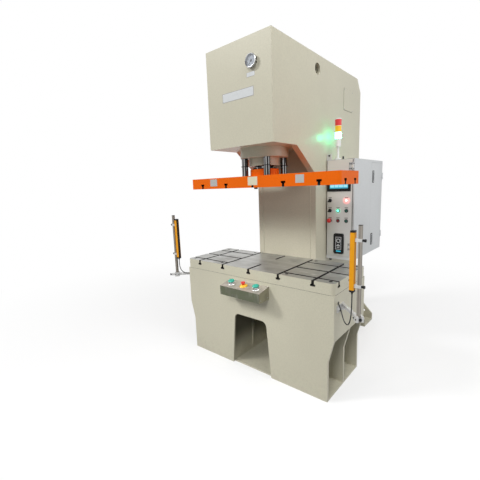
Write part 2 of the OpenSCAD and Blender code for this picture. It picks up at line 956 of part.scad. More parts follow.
module guide_rods() {
    color([0.80, 0.81, 0.82])
        at_guides()
            translate([0, 0, platen_top - guide_seat])
                cylinder(d = guide_d, h = guide_top - platen_top + guide_seat);
}

module platen() {
    color(orange)
        difference() {
            translate([0, 0, platen_z])
                linear_extrude(platen_t)
                    rounded_rect(platen_w, platen_d, platen_r);
            mirror([0, 0, 1]) {
                for (x = slot_x)
                    slot_y(x, -platen_d / 2 - eps, platen_d / 2 + eps, -platen_z);
                for (s = [-1, 1]) {
                    slot_y(0, s < 0 ? -platen_d / 2 - eps : platen_d / 4,
                           s < 0 ? -platen_d / 4 : platen_d / 2 + eps, -platen_z);
                    for (y = [-platen_cross, platen_cross])
                        slot_cross(s < 0 ? -platen_w / 2 - eps : slot_pitch,
                                   s < 0 ? -slot_pitch : platen_w / 2 + eps, y, -platen_z);
                }
            }
            translate([0, 0, platen_top - rod_seat])
                cylinder(d = rod_d + 0.4, h = rod_seat + eps, $fn = 96);
            at_guides()
                translate([0, 0, platen_top - guide_seat])
                    cylinder(d = guide_d + 0.4, h = guide_seat + eps);
        }
}

module platen_tags() {
    tags = [[-414, 80, 58], [2, 92, 64], [408, 66, 56]];
    color([0.75, 0.75, 0.74])
        for (t = tags)
            translate([t[0] - t[1] / 2, -platen_d / 2 - tag_t, platen_z + platen_t / 2 - t[2] / 2 + 6])
                cube([t[1], tag_t, t[2]]);
}

module ram_screws() {
    stud_y = -platen_d / 2 + 44;
    color(black) {
        for (i = [0 : 7])
            rotate([0, 0, 22.5 + 45 * i])
                translate([screw_circle / 2, 0, platen_top + rod_flange_h])
                    difference() {
                        cylinder(d = screw_head_d, h = screw_head_h);
                        translate([0, 0, screw_head_h / 2])
                            cylinder(d = screw_head_d / 2, h = screw_head_h, $fn = 6);
                    }
        translate([0, stud_y, 0]) {
            translate([0, 0, platen_z + slot_depth - slot_foot_h])
                cylinder(d = slot_foot_w - 4, h = slot_foot_h - 3, $fn = 4);
            translate([0, 0, platen_z - 12])
                cylinder(d = slot_neck_w - 4, h = slot_depth - slot_foot_h + 12);
            translate([0, 0, platen_z - 12])
                cylinder(d = 30, h = 12, $fn = 6);
        }
    }
}

// Gauge and plates
module at_gauge() {
    translate([gauge_x, head_y, gauge_z])
        rotate([90, 0, 0])
            children();
}

module gauge_case() {
    color([0.78, 0.79, 0.80])
        at_gauge() {
            rotate_extrude()
                polygon([
                    [0, 0], [gauge_d / 2 - 4, 0], [gauge_d / 2 - 4, gauge_h - 12],
                    [gauge_d / 2, gauge_h - 10], [gauge_d / 2, gauge_h - 2], [gauge_d / 2 - 3, gauge_h],
                    [gauge_d / 2 - 7, gauge_h], [gauge_d / 2 - 7, gauge_h - 12], [0, gauge_h - 12]
                ]);
            translate([0, 0, -head_t - 30])
                cylinder(d = 18, h = head_t + 30);
            translate([0, 0, gauge_h - 3])
                cylinder(d = gauge_d - 14, h = 2);
        }
}

module gauge_needle() {
    color(black)
        at_gauge()
            translate([0, 0, gauge_h - 11.7]) {
                cylinder(d = 9, h = 5);
                rotate([0, 0, 225])
                    linear_extrude(1.2)
                        polygon([[-12, -2.2], [-12, 2.2], [gauge_d / 2 - 14, 0.5], [gauge_d / 2 - 14, -0.5]]);
            }
}

module head_tags() {
    color([0.86, 0.87, 0.88]) {
        translate([-name_w / 2, head_y - tag_t, name_z - name_h / 2])
            cube([name_w, tag_t, name_h]);
        translate([gauge_x - 51, head_y - tag_t, gauge_z - 90])
            cube([68, tag_t, 28]);
    }
}

// Cabinet
module hinge_barrel(x, y, z, h) {
    translate([x, y, z])
        cylinder(d = pin_d + 3, h = h);
}

hinge_z = [door_z0 + 60, door_z1 - 87];
hinge_h = 60;
side_hinge_z = [side_z0 + 90, side_z1 - 150];

module cabinet_box() {
    color([0.72, 0.73, 0.72]) {
        difference() {
            translate([cab_x0, cab_y, cab_z0])
                cube([cab_w, cab_d, cab_z1 - cab_z0]);
            translate([cab_x0 + cab_wall, cab_y + cab_wall, cab_z0 + cab_wall])
                cube([cab_w - 2 * cab_wall, cab_d - 2 * cab_wall, cab_z1 - cab_z0 - 2 * cab_wall]);
            translate([door_x0 - door_gap, cab_y - eps, door_z0 - door_gap])
                cube([door_x1 - door_x0 + 2 * door_gap, door_t + 4, door_z1 - door_z0 + 2 * door_gap]);
            translate([cab_x1 - door_t - 2, side_y0 - door_gap, side_z0 - door_gap])
                cube([door_t + 2 + eps, side_door_d + 2 * door_gap, side_z1 - side_z0 + 2 * door_gap]);
        }
        for (y = [cab_y + 110, cab_y1 - 90], z = [cab_z0 + 90, cab_z1 - 90])
            translate([half_w, y, z])
                rotate([0, 90, 0])
                    cylinder(d = 40, h = cab_gap);
        for (z = hinge_z) {
            hinge_barrel(pin_x, pin_y, z, hinge_h / 3 - 0.3);
            hinge_barrel(pin_x, pin_y, z + 2 * hinge_h / 3 + 0.3, hinge_h / 3 - 0.3);
            translate([pin_x, pin_y, z])
                cylinder(d = pin_d, h = hinge_h);
            for (dz = [0, 2 * hinge_h / 3 + 0.3])
                translate([pin_x + 1, pin_y - 1, z + dz])
                    cube([cab_x1 - pin_x - 1, cab_y - pin_y + 1, hinge_h / 3 - 0.3]);
        }
        for (z = side_hinge_z) {
            hinge_barrel(side_pin_x, side_pin_y, z, 19.7);
            hinge_barrel(side_pin_x, side_pin_y, z + 40.3, 19.7);
            translate([side_pin_x, side_pin_y, z])
                cylinder(d = pin_d, h = hinge_h);
            for (dz = [0, 40.3])
                translate([cab_x1, side_pin_y - 1, z + dz])
                    cube([side_pin_x - cab_x1 + 1, 8, 19.7]);
        }
    }
}

module door_tray() {
    difference() {
        translate([door_x0, cab_y, door_z0])
            cube([door_x1 - door_x0, door_t, door_z1 - door_z0]);
        translate([door_x0 + door_sheet, cab_y + door_sheet, door_z0 + door_sheet])
            cube([door_x1 - door_x0 - 2 * door_sheet, door_t, door_z1 - door_z0 - 2 * door_sheet]);
    }
}

module at_controls() {
    for (i = [0 : 2], j = [0 : 2])
        if (!(i == 1 && j == 0))
            translate([ctrl_cols[i], cab_y, ctrl_rows[j]])
                rotate([90, 0, 0])
                    children();
}

module cabinet_door() {
    color([0.70, 0.69, 0.67]) {
        difference() {
            door_tray();
            at_controls()
                translate([0, 0, -door_sheet - eps])
                    cylinder(d = ctrl_d, h = door_sheet + 2 * eps);
            translate([hmi_x - hmi_w / 2 + 12, cab_y - eps, hmi_z + 12])
                cube([hmi_w - 24, door_sheet + 2 * eps, hmi_h - 24]);
            translate([port_x - port_w / 2 + 12, cab_y - eps, port_z + 12])
                cube([port_w - 24, door_sheet + 2 * eps, port_h - 24]);
        }
        for (z = hinge_z)
            difference() {
                union() {
                    hinge_barrel(pin_x, pin_y, z + hinge_h / 3, hinge_h / 3);
                    translate([pin_x - 34, cab_y - 2, z])
                        cube([28, 2, hinge_h]);
                    translate([pin_x - 12, pin_y - 1, z + hinge_h / 3])
                        cube([12, cab_y - pin_y + 1, hinge_h / 3]);
                }
                translate([pin_x, pin_y, z - eps])
                    cylinder(d = pin_d + 0.1, h = hinge_h + 2 * eps);
            }
    }
}

module side_door() {
    color([0.74, 0.76, 0.78]) {
        difference() {
            translate([cab_x1 - door_t, side_y0, side_z0])
                cube([door_t, side_door_d, side_z1 - side_z0]);
            translate([cab_x1 - door_t - eps, side_y0 + door_sheet, side_z0 + door_sheet])
                cube([door_t - door_sheet + eps, side_door_d - 2 * door_sheet,
                      side_z1 - side_z0 - 2 * door_sheet]);
        }
        for (z = [side_z0 + 50, side_z1 - 175])
            translate([cab_x1, side_y0 + 44, z])
                cube([3, 16, 100]);
        for (z = side_hinge_z)
            difference() {
                union() {
                    hinge_barrel(side_pin_x, side_pin_y, z + 20, 20);
                    translate([cab_x1, side_pin_y - 26, z + 20])
                        cube([side_pin_x - cab_x1, 26, 20]);
                }
                translate([side_pin_x, side_pin_y, z])
                    cylinder(d = pin_d + 0.1, h = hinge_h);
            }
    }
}

module control_gear() {
    back = cab_y + 0.48 * cab_d;
    x0 = cab_x0 + cab_wall;
    w = cab_w - 2 * cab_wall;
    color([0.80, 0.80, 0.78]) {
        translate([x0, back, cab_z0 + 60])
            cube([w, 3, cab_z1 - cab_z0 - 120]);
        for (z = [cab_z0 + 180, cab_z0 + 370, cab_z0 + 560])
            translate([x0 + 12, back - 8, z])
                cube([w - 24, 8, 35]);
        for (i = [0 : 3])
            translate([x0 + 18 + i * 50, back - 88, cab_z0 + 160])
                cube([44, 80, 75]);
        translate([x0 + 18, back - 70, cab_z0 + 345])
            cube([120, 62, 90]);
        translate([x0 + 150, back - 60, cab_z0 + 350])
            cube([60, 52, 80]);
        for (i = [0 : 11])
            translate([x0 + 18 + i * 16, back - 55, cab_z0 + 555])
                cube([14, 47, 50]);
    }
}

module cabinet_glands() {
    color(black) {
        translate([cab_x0 + 30, cab_y + 20, cab_z0 - 18])
            cylinder(d = 22, h = 18);
        translate([cab_x0 + 135, cab_y + 12, cab_z1])
            cylinder(d = 14, h = 22);
    }
    color([0.85, 0.85, 0.83]) {
        translate([half_w, cab_y + 4, cab_z1])
            cube([44, 4, 50]);
        translate([half_w, cab_y + 8, cab_z1])
            cube([4, 40, 50]);
    }
    color(black)
        translate([half_w + 25, cab_y + 4, cab_z1 + 36])
            rotate([90, 0, 0])
                cylinder(d = 14, h = 8);
}

module operator_panel() {
    color(black)
        difference() {
            translate([hmi_x - hmi_w / 2, cab_y - hmi_t, hmi_z])
                cube([hmi_w, hmi_t, hmi_h]);
            translate([hmi_x - hmi_w / 2 + 22, cab_y - hmi_t - eps, hmi_z + 24])
                cube([hmi_w - 44, 2 + eps, hmi_h - 44]);
        }
    color([0.35, 0.75, 0.86])
        translate([hmi_x - hmi_w / 2 + 12.5, cab_y, hmi_z + 12.5])
            cube([hmi_w - 25, 30, hmi_h - 25]);
}

module socket_frame() {
    color(black)
        translate([port_x, cab_y, port_z + port_h / 2])
            rotate([90, 0, 0])
                difference() {
                    linear_extrude(10)
                        rounded_rect(port_w, port_h, 16);
                    translate([0, 0, 6])
                        linear_extrude(10)
                            rounded_rect(port_w - 24, port_h - 24, 10);
                }
    color([0.55, 0.56, 0.58])
        translate([port_x - 27, cab_y - 9, port_z + 36])
            cube([54, 3, 112]);
}

module control_rings() {
    color([0.78, 0.79, 0.80])
        at_controls()
            difference() {
                cylinder(d = ring_d, h = ring_h);
                translate([0, 0, -eps])
                    cylinder(d = ctrl_d - 2, h = ring_h + 2 * eps);
            }
    color([0.90, 0.15, 0.15])
        translate([ctrl_cols[2], cab_y, ctrl_rows[0]])
            rotate([90, 0, 0])
                rotate_extrude()
                    polygon([[0, 0], [ctrl_d / 2 - 1, 0], [ctrl_d / 2 - 1, 9], [ctrl_d / 2 - 5, 12], [0, 13]]);
    color([0.82, 0.83, 0.84])
        at_controls()
            translate([-16, ring_d / 2 + 5, 0])
                cube([32, 11, 0.8]);
}

module push_cap(i, j) {
    translate([ctrl_cols[i], cab_y, ctrl_rows[j]])
        rotate([90, 0, 0]) {
            translate([0, 0, -25])
                cylinder(d = ctrl_d - 8, h = 26);
            translate([0, 0, ring_h - push_travel - 1])
                cylinder(d = ctrl_d - 3, h = push_travel + 4);
        }
}

module start_button() {
    color([0.2, 0.85, 0.5])
        push_cap(1, 1);
}

module stop_button() {
    color([0.65, 0.1, 0.1])
        push_cap(1, 2);
}

module up_button() {
    color([0.08, 0.4, 0.3])
        push_cap(2, 1);
}

module down_button() {
    color([0.08, 0.4, 0.3])
        push_cap(2, 2);
}

module selector(i, j) {
    color(black)
        translate([ctrl_cols[i], cab_y, ctrl_rows[j]])
            rotate([90, 0, 0]) {
                translate([0, 0, -25])
                    cylinder(d = ctrl_d - 8, h = 32);
                translate([0, 0, ring_h + 0.4])
                    cylinder(d = ring_d - 3, h = 4);
                rotate([0, 0, 45])
                    translate([-15, -4, ring_h + 4])
                        cube([30, 8, 14]);
            }
}

module mode_selector() {
    selector(0, 0);
}

module pump_selector() {
    selector(0, 1);
}

// Mushroom head of a stop or palm button, with its foot at z = 0
module mushroom(d, neck, h) {
    rotate_extrude()
        polygon(concat(
            [[0, 0], [neck / 2, 0], [neck / 2, h * 0.35], [d / 2 - 2, h * 0.45], [d / 2, h * 0.6]],
            [for (a = [15 : 15 : 75]) [d / 2 * cos(a), h * (0.6 + 0.4 * sin(a))]],
            [[0, h]]
        ));
}

module cabinet_estop() {
    color([0.8, 0.08, 0.08])
        translate([ctrl_cols[0], cab_y, ctrl_rows[2]])
            rotate([90, 0, 0]) {
                translate([0, 0, -25])
                    cylinder(d = ctrl_d - 8, h = 26 + ring_h);
                translate([0, 0, ring_h])
                    mushroom(estop_d, ctrl_d - 2.6, 26);
            }
}

// Stack light
stack_at = [half_w + stack_x, cab_y + stack_y, cab_z1];

module stack_pole() {
    top = stack_tube_h + 3 * lens_h;
    color([0.86, 0.87, 0.88])
        translate(stack_at) {
            cylinder(d = lens_d - 6, h = 12);
            cylinder(d = 20, h = stack_tube_h);
            translate([0, 0, stack_tube_h - 62])
                cylinder(d = lens_d - 6, h = 62);
            translate([0, 0, top])
                cylinder(d = lens_d - 2, h = 6);
        }
}

module stack_lenses() {
    tints = [[0.25, 0.95, 0.55], [0.95, 0.75, 0.1], [0.9, 0.15, 0.15]];
    for (i = [0 : 2])
        color(tints[i])
            translate(stack_at + [0, 0, stack_tube_h + i * lens_h])
                rotate_extrude()
                    polygon([
                        [0, 0], [lens_d / 2 - 2, 0], [lens_d / 2, 2], [lens_d / 2, lens_h - 2],
                        [lens_d / 2 - 2, lens_h], [0, lens_h]
                    ]);
}

// Two-hand console
module console_profile(inset, back) {
    slope = tan(con_angle);
    polygon([
        [front_y + back, con_z0 + inset], [front_y - con_d + inset, con_z0 + inset],
        [front_y - con_d + inset, con_z0 + con_front_h - inset / cos(con_angle) + inset * slope],
        [front_y + back, con_z0 + con_rear_h - inset / cos(con_angle) + back * slope]
    ]);
}

module at_console(x) {
    translate([x, con_mid_y, con_mid_z])
        rotate([con_angle, 0, 0])
            children();
}

module console_box() {
    color([0.50, 0.52, 0.47])
        difference() {
            plate_yz(-con_w / 2, con_w)
                console_profile(0, 0);
            plate_yz(-con_w / 2 + con_t, con_w - 2 * con_t)
                console_profile(con_t, eps);
            for (x = [-palm_x, 0, palm_x])
                at_console(x)
                    translate([0, 0, -3 * con_t])
                        cylinder(d = ctrl_d, h = 6 * con_t);
        }
}

module console_collars() {
    for (x = [-palm_x, palm_x])
        color([0.80, 0.81, 0.82])
            at_console(x)
                difference() {
                    cylinder(d = 34, h = 12);
                    translate([0, 0, -eps])
                        cylinder(d = ctrl_d - 2, h = 12 + 2 * eps);
                }
    color([0.95, 0.78, 0.15])
        at_console(0)
            difference() {
                rotate_extrude()
                    polygon([
                        [ctrl_d / 2 - 1, 0], [collar_d / 2, 0], [collar_d / 2, 3],
                        [collar_d / 2 - 12, 12], [ctrl_d / 2 - 1, 12]
                    ]);
            }
}

module console_button(x, d, h) {
    at_console(x) {
        translate([0, 0, -30])
            cylinder(d = ctrl_d - 8, h = 42);
        translate([0, 0, 12 + palm_travel - 6])
            cylinder(d = ctrl_d - 3, h = 7);
        translate([0, 0, 12 + palm_travel + 0.4])
            mushroom(d, ctrl_d - 4, h);
    }
}

module palm_button_left() {
    color([0.2, 0.72, 0.63])
        console_button(-palm_x, palm_d, 16);
}

module palm_button_right() {
    color([0.2, 0.72, 0.63])
        console_button(palm_x, palm_d, 16);
}

module console_estop() {
    color([0.88, 0.22, 0.18])
        console_button(0, 36, 18);
}

// Light curtains. side is -1 on the left and 1 on the right
function post_at(side, reach) =
    [side * (pivot_x + reach * sin(arm_angle)), pivot_y - reach * cos(arm_angle)];
function bar_at(side, reach) = post_at(side, reach) - [side * bar_off, 0];

module curtain_bars() {
    for (c = [[-1, reach_left], [1, reach_right]]) {
        p = bar_at(c[0], c[1]);
        translate([p[0], p[1], 0]) {
            color([0.92, 0.65, 0.08])
                translate([0, 0, bar_z0 + bar_cap])
                    linear_extrude(bar_z1 - bar_z0 - 2 * bar_cap)
                        difference() {
                            rounded_rect(bar_w, bar_d, 4);
                            translate([-c[0] * bar_w / 2, 0])
                                square([6, bar_d - 12], center = true);
                        }
            color(black) {
                for (z = [bar_z0, bar_z1 - bar_cap])
                    translate([0, 0, z])
                        linear_extrude(bar_cap)
                            rounded_rect(bar_w, bar_d, 4);
                translate([0, 0, bar_z0 - gland_len])
                    cylinder(d = cable_d + 6, h = gland_len);
                translate([-c[0] * (bar_w / 2 - 1.5), 0, (bar_z0 + bar_z1) / 2])
                    cube([3, bar_d - 12, bar_z1 - bar_z0 - 2 * bar_cap], center = true);
            }
        }
    }
}

module curtain_posts() {
    groove = 6;
    color([0.62, 0.60, 0.57])
        for (c = [[-1, reach_left], [1, reach_right]]) {
            p = post_at(c[0], c[1]);
            translate([p[0], p[1], arm_z - 26])
                linear_extrude(post_z1 - arm_z + 26)
                    difference() {
                        rounded_rect(post_w, post_w, 1.5);
                        for (a = [0 : 90 : 270])
                            rotate(a)
                                translate([post_w / 2, 0])
                                    square([8, groove], center = true);
                    }
        }
}

module curtain_arm(side, reach) {
    p = post_at(side, reach);
    bed_x = side * bed_w / 2;
    plate_t = 8;
    dir = side > 0 ? -90 + (90 - arm_angle) : -90 - (90 - arm_angle);
    translate([side > 0 ? bed_x : bed_x - plate_t, pivot_y - 75, arm_z - 42])
        cube([plate_t, 105, 46]);
    for (y = [pivot_y - 58, pivot_y + 14])
        translate([bed_x + side * plate_t, y, arm_z - 26])
            rotate([0, side * 90, 0])
                cylinder(d = 20, h = 9);
    translate([side > 0 ? bed_x + plate_t : side * (pivot_x + 12), pivot_y - 14, arm_z - 38])
        cube([arm_off + 12 - plate_t, 28, 24]);
    translate([side * pivot_x, pivot_y, arm_z - 14])
        rotate([0, 0, dir])
            difference() {
                union() {
                    translate([0, -arm_w / 2, 0])
                        cube([arm_len, arm_w, arm_h]);
                    cylinder(d = arm_w, h = arm_h);
                }
                translate([reach, 0, -eps])
                    rotate([0, 0, -dir])
                        cube([post_w + 0.4, post_w + 0.4, 4 * arm_h], center = true);
            }
    for (s = [-1, 1])
        translate([side * pivot_x, pivot_y, arm_z - 14])
            rotate([0, 0, dir])
                translate([reach, s * 16, arm_h / 2])
                    difference() {
                        cube([44, 14, 36], center = true);
                        translate([0, -s * 16, 0])
                            rotate([0, 0, -dir])
                                cube([post_w + 0.4, post_w + 0.4, 4 * arm_h], center = true);
                    }
    for (z = clamp_z) {
        translate([p[0] - side * (bar_off + post_w / 2 - bar_w / 2) / 2, p[1], z])
            cube([bar_off - post_w / 2 - bar_w / 2, 16, 22], center = true);
        translate([p[0] + side * (post_w / 2), p[1], z])
            rotate([0, side * 90, 0])
                cylinder(d = 14, h = 16);
    }
}

module curtain_arms() {
    color([0.80, 0.80, 0.80]) {
        curtain_arm(-1, reach_left);
        curtain_arm(1, reach_right);
    }
}

// Tube along a list of points, as a chain of rings
module tube(points, d) {
    n = 8;
    count = len(points);
    function dir(i) = i == 0 ? points[1] - points[0]
        : i == count - 1 ? points[i] - points[i - 1] : points[i + 1] - points[i - 1];
    level = cross(points[count - 1] - points[0], [0, 0, 1]);
    function side_of(v) = let (s = level / norm(level), t = s - (s * v) * v) t / norm(t);
    rings = [for (i = [0 : count - 1])
        let (v = dir(i) / norm(dir(i)), a = side_of(v), b = cross(v, a))
            [for (k = [0 : n - 1]) points[i] + d / 2 * (cos(360 * k / n) * a + sin(360 * k / n) * b)]];
    verts = [for (ring = rings) for (p = ring) p];
    walls = [for (i = [0 : count - 2]) for (k = [0 : n - 1])
        [i * n + k, i * n + (k + 1) % n, (i + 1) * n + (k + 1) % n, (i + 1) * n + k]];
    ends = [[for (k = [n - 1 : -1 : 0]) k], [for (k = [0 : n - 1]) (count - 1) * n + k]];
    polyhedron(points = verts, faces = concat(walls, ends));
}

module cable_left() {
    color(black)
        tube(left_route, cable_d);
}

module cable_right() {
    color(black)
        tube(right_route, cable_d);
}

base_plate();
bed_front_plate();
bed_ribs();
bed_side_walls();
work_table();
table_bolts();
column_side_left();
column_side_right();
column_web();
head_front_plate();
head_bottom_plate();
head_top_plate();
rear_cover();
access_panel();
rear_feet();
cylinder_barrel();
cylinder_cap();
guide_bushes();
oil_tank();
pump_motor();
motor_shaft();
oil_pump();
valve_block();
oil_pipes();
piston_rod();
rod_flange();
guide_rods();
platen();
platen_tags();
ram_screws();
gauge_case();
gauge_needle();
head_tags();
cabinet_box();
cabinet_door();
side_door();
control_gear();
cabinet_glands();
operator_panel();
socket_frame();
control_rings();
start_button();
stop_button();
up_button();
down_button();
mode_selector();
pump_selector();
cabinet_estop();
stack_pole();
stack_lenses();
console_box();
console_collars();
palm_button_left();
palm_button_right();
console_estop();
curtain_bars();
curtain_posts();
curtain_arms();
cable_left();
cable_right();
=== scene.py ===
"""Finishes, fittings, cables and light of a hydraulic C-frame press.

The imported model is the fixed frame: metres, +Z up, the origin on the floor under the ram,
the operator at -Y and the control cabinet at +X. Lengths are in metres, apart from the profiles
of turned forms, the offsets of blocks and whatever a docstring gives in millimetres.
"""

from __future__ import annotations

import json
import logging
import math
from abc import ABC, abstractmethod
from dataclasses import dataclass, field
from enum import Enum, IntEnum
from typing import Any, ClassVar, Iterable, Sequence

import bmesh
import bpy
from mathutils import Matrix, Vector

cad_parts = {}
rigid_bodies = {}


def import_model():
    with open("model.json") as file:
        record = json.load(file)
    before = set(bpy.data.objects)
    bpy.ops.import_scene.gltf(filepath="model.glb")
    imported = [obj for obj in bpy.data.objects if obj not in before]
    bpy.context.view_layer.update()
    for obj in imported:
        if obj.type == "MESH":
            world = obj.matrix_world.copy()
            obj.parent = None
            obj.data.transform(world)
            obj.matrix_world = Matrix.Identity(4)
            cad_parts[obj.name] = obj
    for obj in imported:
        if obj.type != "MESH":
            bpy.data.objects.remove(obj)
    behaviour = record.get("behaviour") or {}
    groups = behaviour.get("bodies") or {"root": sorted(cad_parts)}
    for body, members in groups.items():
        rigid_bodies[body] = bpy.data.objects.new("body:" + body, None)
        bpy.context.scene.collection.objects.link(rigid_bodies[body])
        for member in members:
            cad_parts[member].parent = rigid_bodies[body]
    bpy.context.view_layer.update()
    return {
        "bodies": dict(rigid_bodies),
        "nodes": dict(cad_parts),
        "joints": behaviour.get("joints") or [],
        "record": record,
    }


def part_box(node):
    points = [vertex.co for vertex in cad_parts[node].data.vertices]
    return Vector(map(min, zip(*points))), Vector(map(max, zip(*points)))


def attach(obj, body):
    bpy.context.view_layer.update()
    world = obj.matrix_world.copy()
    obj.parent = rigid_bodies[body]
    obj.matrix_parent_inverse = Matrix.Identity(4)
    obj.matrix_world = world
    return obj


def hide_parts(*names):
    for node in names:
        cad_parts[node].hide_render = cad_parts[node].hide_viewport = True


LOG = logging.getLogger("press")
Colour = tuple[float, float, float]
Point = tuple[float, float, float]
Rectangle = tuple[float, float, float, float]
Profile = Sequence[tuple[float, float]]
Spot = tuple[Sequence[float], Sequence[float]]
Form = bmesh.types.BMesh
Socket = bpy.types.NodeSocket
Material = bpy.types.Material
Object = bpy.types.Object
MM = 0.001
WHITE = (1.0, 1.0, 1.0)
OUT_FRONT = Vector((0.0, -1.0, 0.0))
OUT_RIGHT = Vector((1.0, 0.0, 0.0))
OUT_BACK = Vector((0.0, 1.0, 0.0))
UP = Vector((0.0, 0.0, 1.0))


class Side(IntEnum):
    """The left or right of the operator, as the sign of X."""

    LEFT = -1
    RIGHT = 1


class Body(Enum):
    """The moving bodies that pieces ride on."""

    FRAME = "frame"
    RAM = "ram"
    DOOR = "door"
    SIDE_LEAF = "side_leaf"
    NEEDLE = "needle"
    PALM_LEFT = "palm_left"
    PALM_RIGHT = "palm_right"


def dimmed(colour: Colour, share: float) -> Colour:
    """The colour with only that share of its light."""
    return tuple(part * share for part in colour)


def placed(name: str, data: bpy.types.ID, at: Matrix | None = None) -> Object:
    """Puts data in the scene as an object.

    Args:
        name: the object's name.
        data: its mesh, curve, lamp or camera.
        at: where it goes, or None for the origin.

    Returns:
        The object.
    """
    made = bpy.data.objects.new(name, data)
    if at is not None:
        made.matrix_world = at
    bpy.context.scene.collection.objects.link(made)
    return made


class Value:
    """One output socket of a material's tree that takes part in Python expressions."""

    def __init__(self, tree: Tree, socket: Socket) -> None:
        """Wraps a socket.

        Args:
            tree: the tree that the socket belongs to.
            socket: the output socket.
        """
        self.tree = tree
        self.socket = socket

    def _maths(self, operation: str, *terms: Any) -> Value:
        """Adds a Math node.

        Args:
            operation: what the node does.
            terms: the values or numbers that it reads.

        Returns:
            Its result.
        """
        node = self.tree.node("ShaderNodeMath", {"operation": operation}, dict(enumerate(terms)))
        return Value(self.tree, node.outputs[0])

    def __add__(self, other: Any) -> Value:
        """self + other."""
        return self._maths("ADD", self, other)

    __radd__ = __add__

    def __sub__(self, other: Any) -> Value:
        """self - other."""
        return self._maths("SUBTRACT", self, other)

    def __rsub__(self, other: Any) -> Value:
        """other - self."""
        return self._maths("SUBTRACT", other, self)

    def __mul__(self, other: Any) -> Value:
        """self * other."""
        return self._maths("MULTIPLY", self, other)

    def __gt__(self, other: Any) -> Value:
        """1 where self is above other, else 0."""
        return self._maths("GREATER_THAN", self, other)

    def __lt__(self, other: Any) -> Value:
        """1 where self is below other, else 0."""
        return self._maths("LESS_THAN", self, other)

    def __abs__(self) -> Value:
        """The value without its sign."""
        return self._maths("ABSOLUTE", self)

    def ramp(self, low: float, high: float) -> Value:
        """Rises smoothly from 0 at low to 1 at high.

        Args:
            low: the value that gives 0.
            high: the value that gives 1.

        Returns:
            The eased and clamped value.
        """
        settings = {"interpolation_type": "SMOOTHSTEP"}
        node = self.tree.node("ShaderNodeMapRange", settings, {"Value": self, 1: low, 2: high})
        return Value(self.tree, node.outputs[0])


class Tree:
    """A node tree that takes one call per node."""

    def __init__(self, tree: bpy.types.NodeTree) -> None:
        """Empties the tree.

        Args:
            tree: the tree to fill.
        """
        self.tree = tree
        tree.nodes.clear()

    def node(
        self, kind: str, settings: dict[str, Any] | None = None, inputs: dict[Any, Any] | None = None
    ) -> bpy.types.Node:
        """Adds one node.

        Args:
            kind: the node's type name.
            settings: attributes set before anything is linked.
            inputs: values or links by socket name or number.

        Returns:
            The new node.
        """
        made = self.tree.nodes.new(kind)
        for key, value in (settings or {}).items():
            setattr(made, key, value)
        for key, value in (inputs or {}).items():
            self.feed(made.inputs[key], value)
        return made

    def feed(self, socket: Socket, value: Any) -> None:
        """Links or sets one input socket.

        Args:
            socket: the input.
            value: a value or output to link, or what the socket is set to.
        """
        if isinstance(value, Value):
            self.tree.links.new(value.socket, socket)
        elif isinstance(value, Socket):
            self.tree.links.new(value, socket)
        elif socket.type == "RGBA" and len(value) == 3:
            socket.default_value = (*value, 1.0)
        else:
            socket.default_value = value


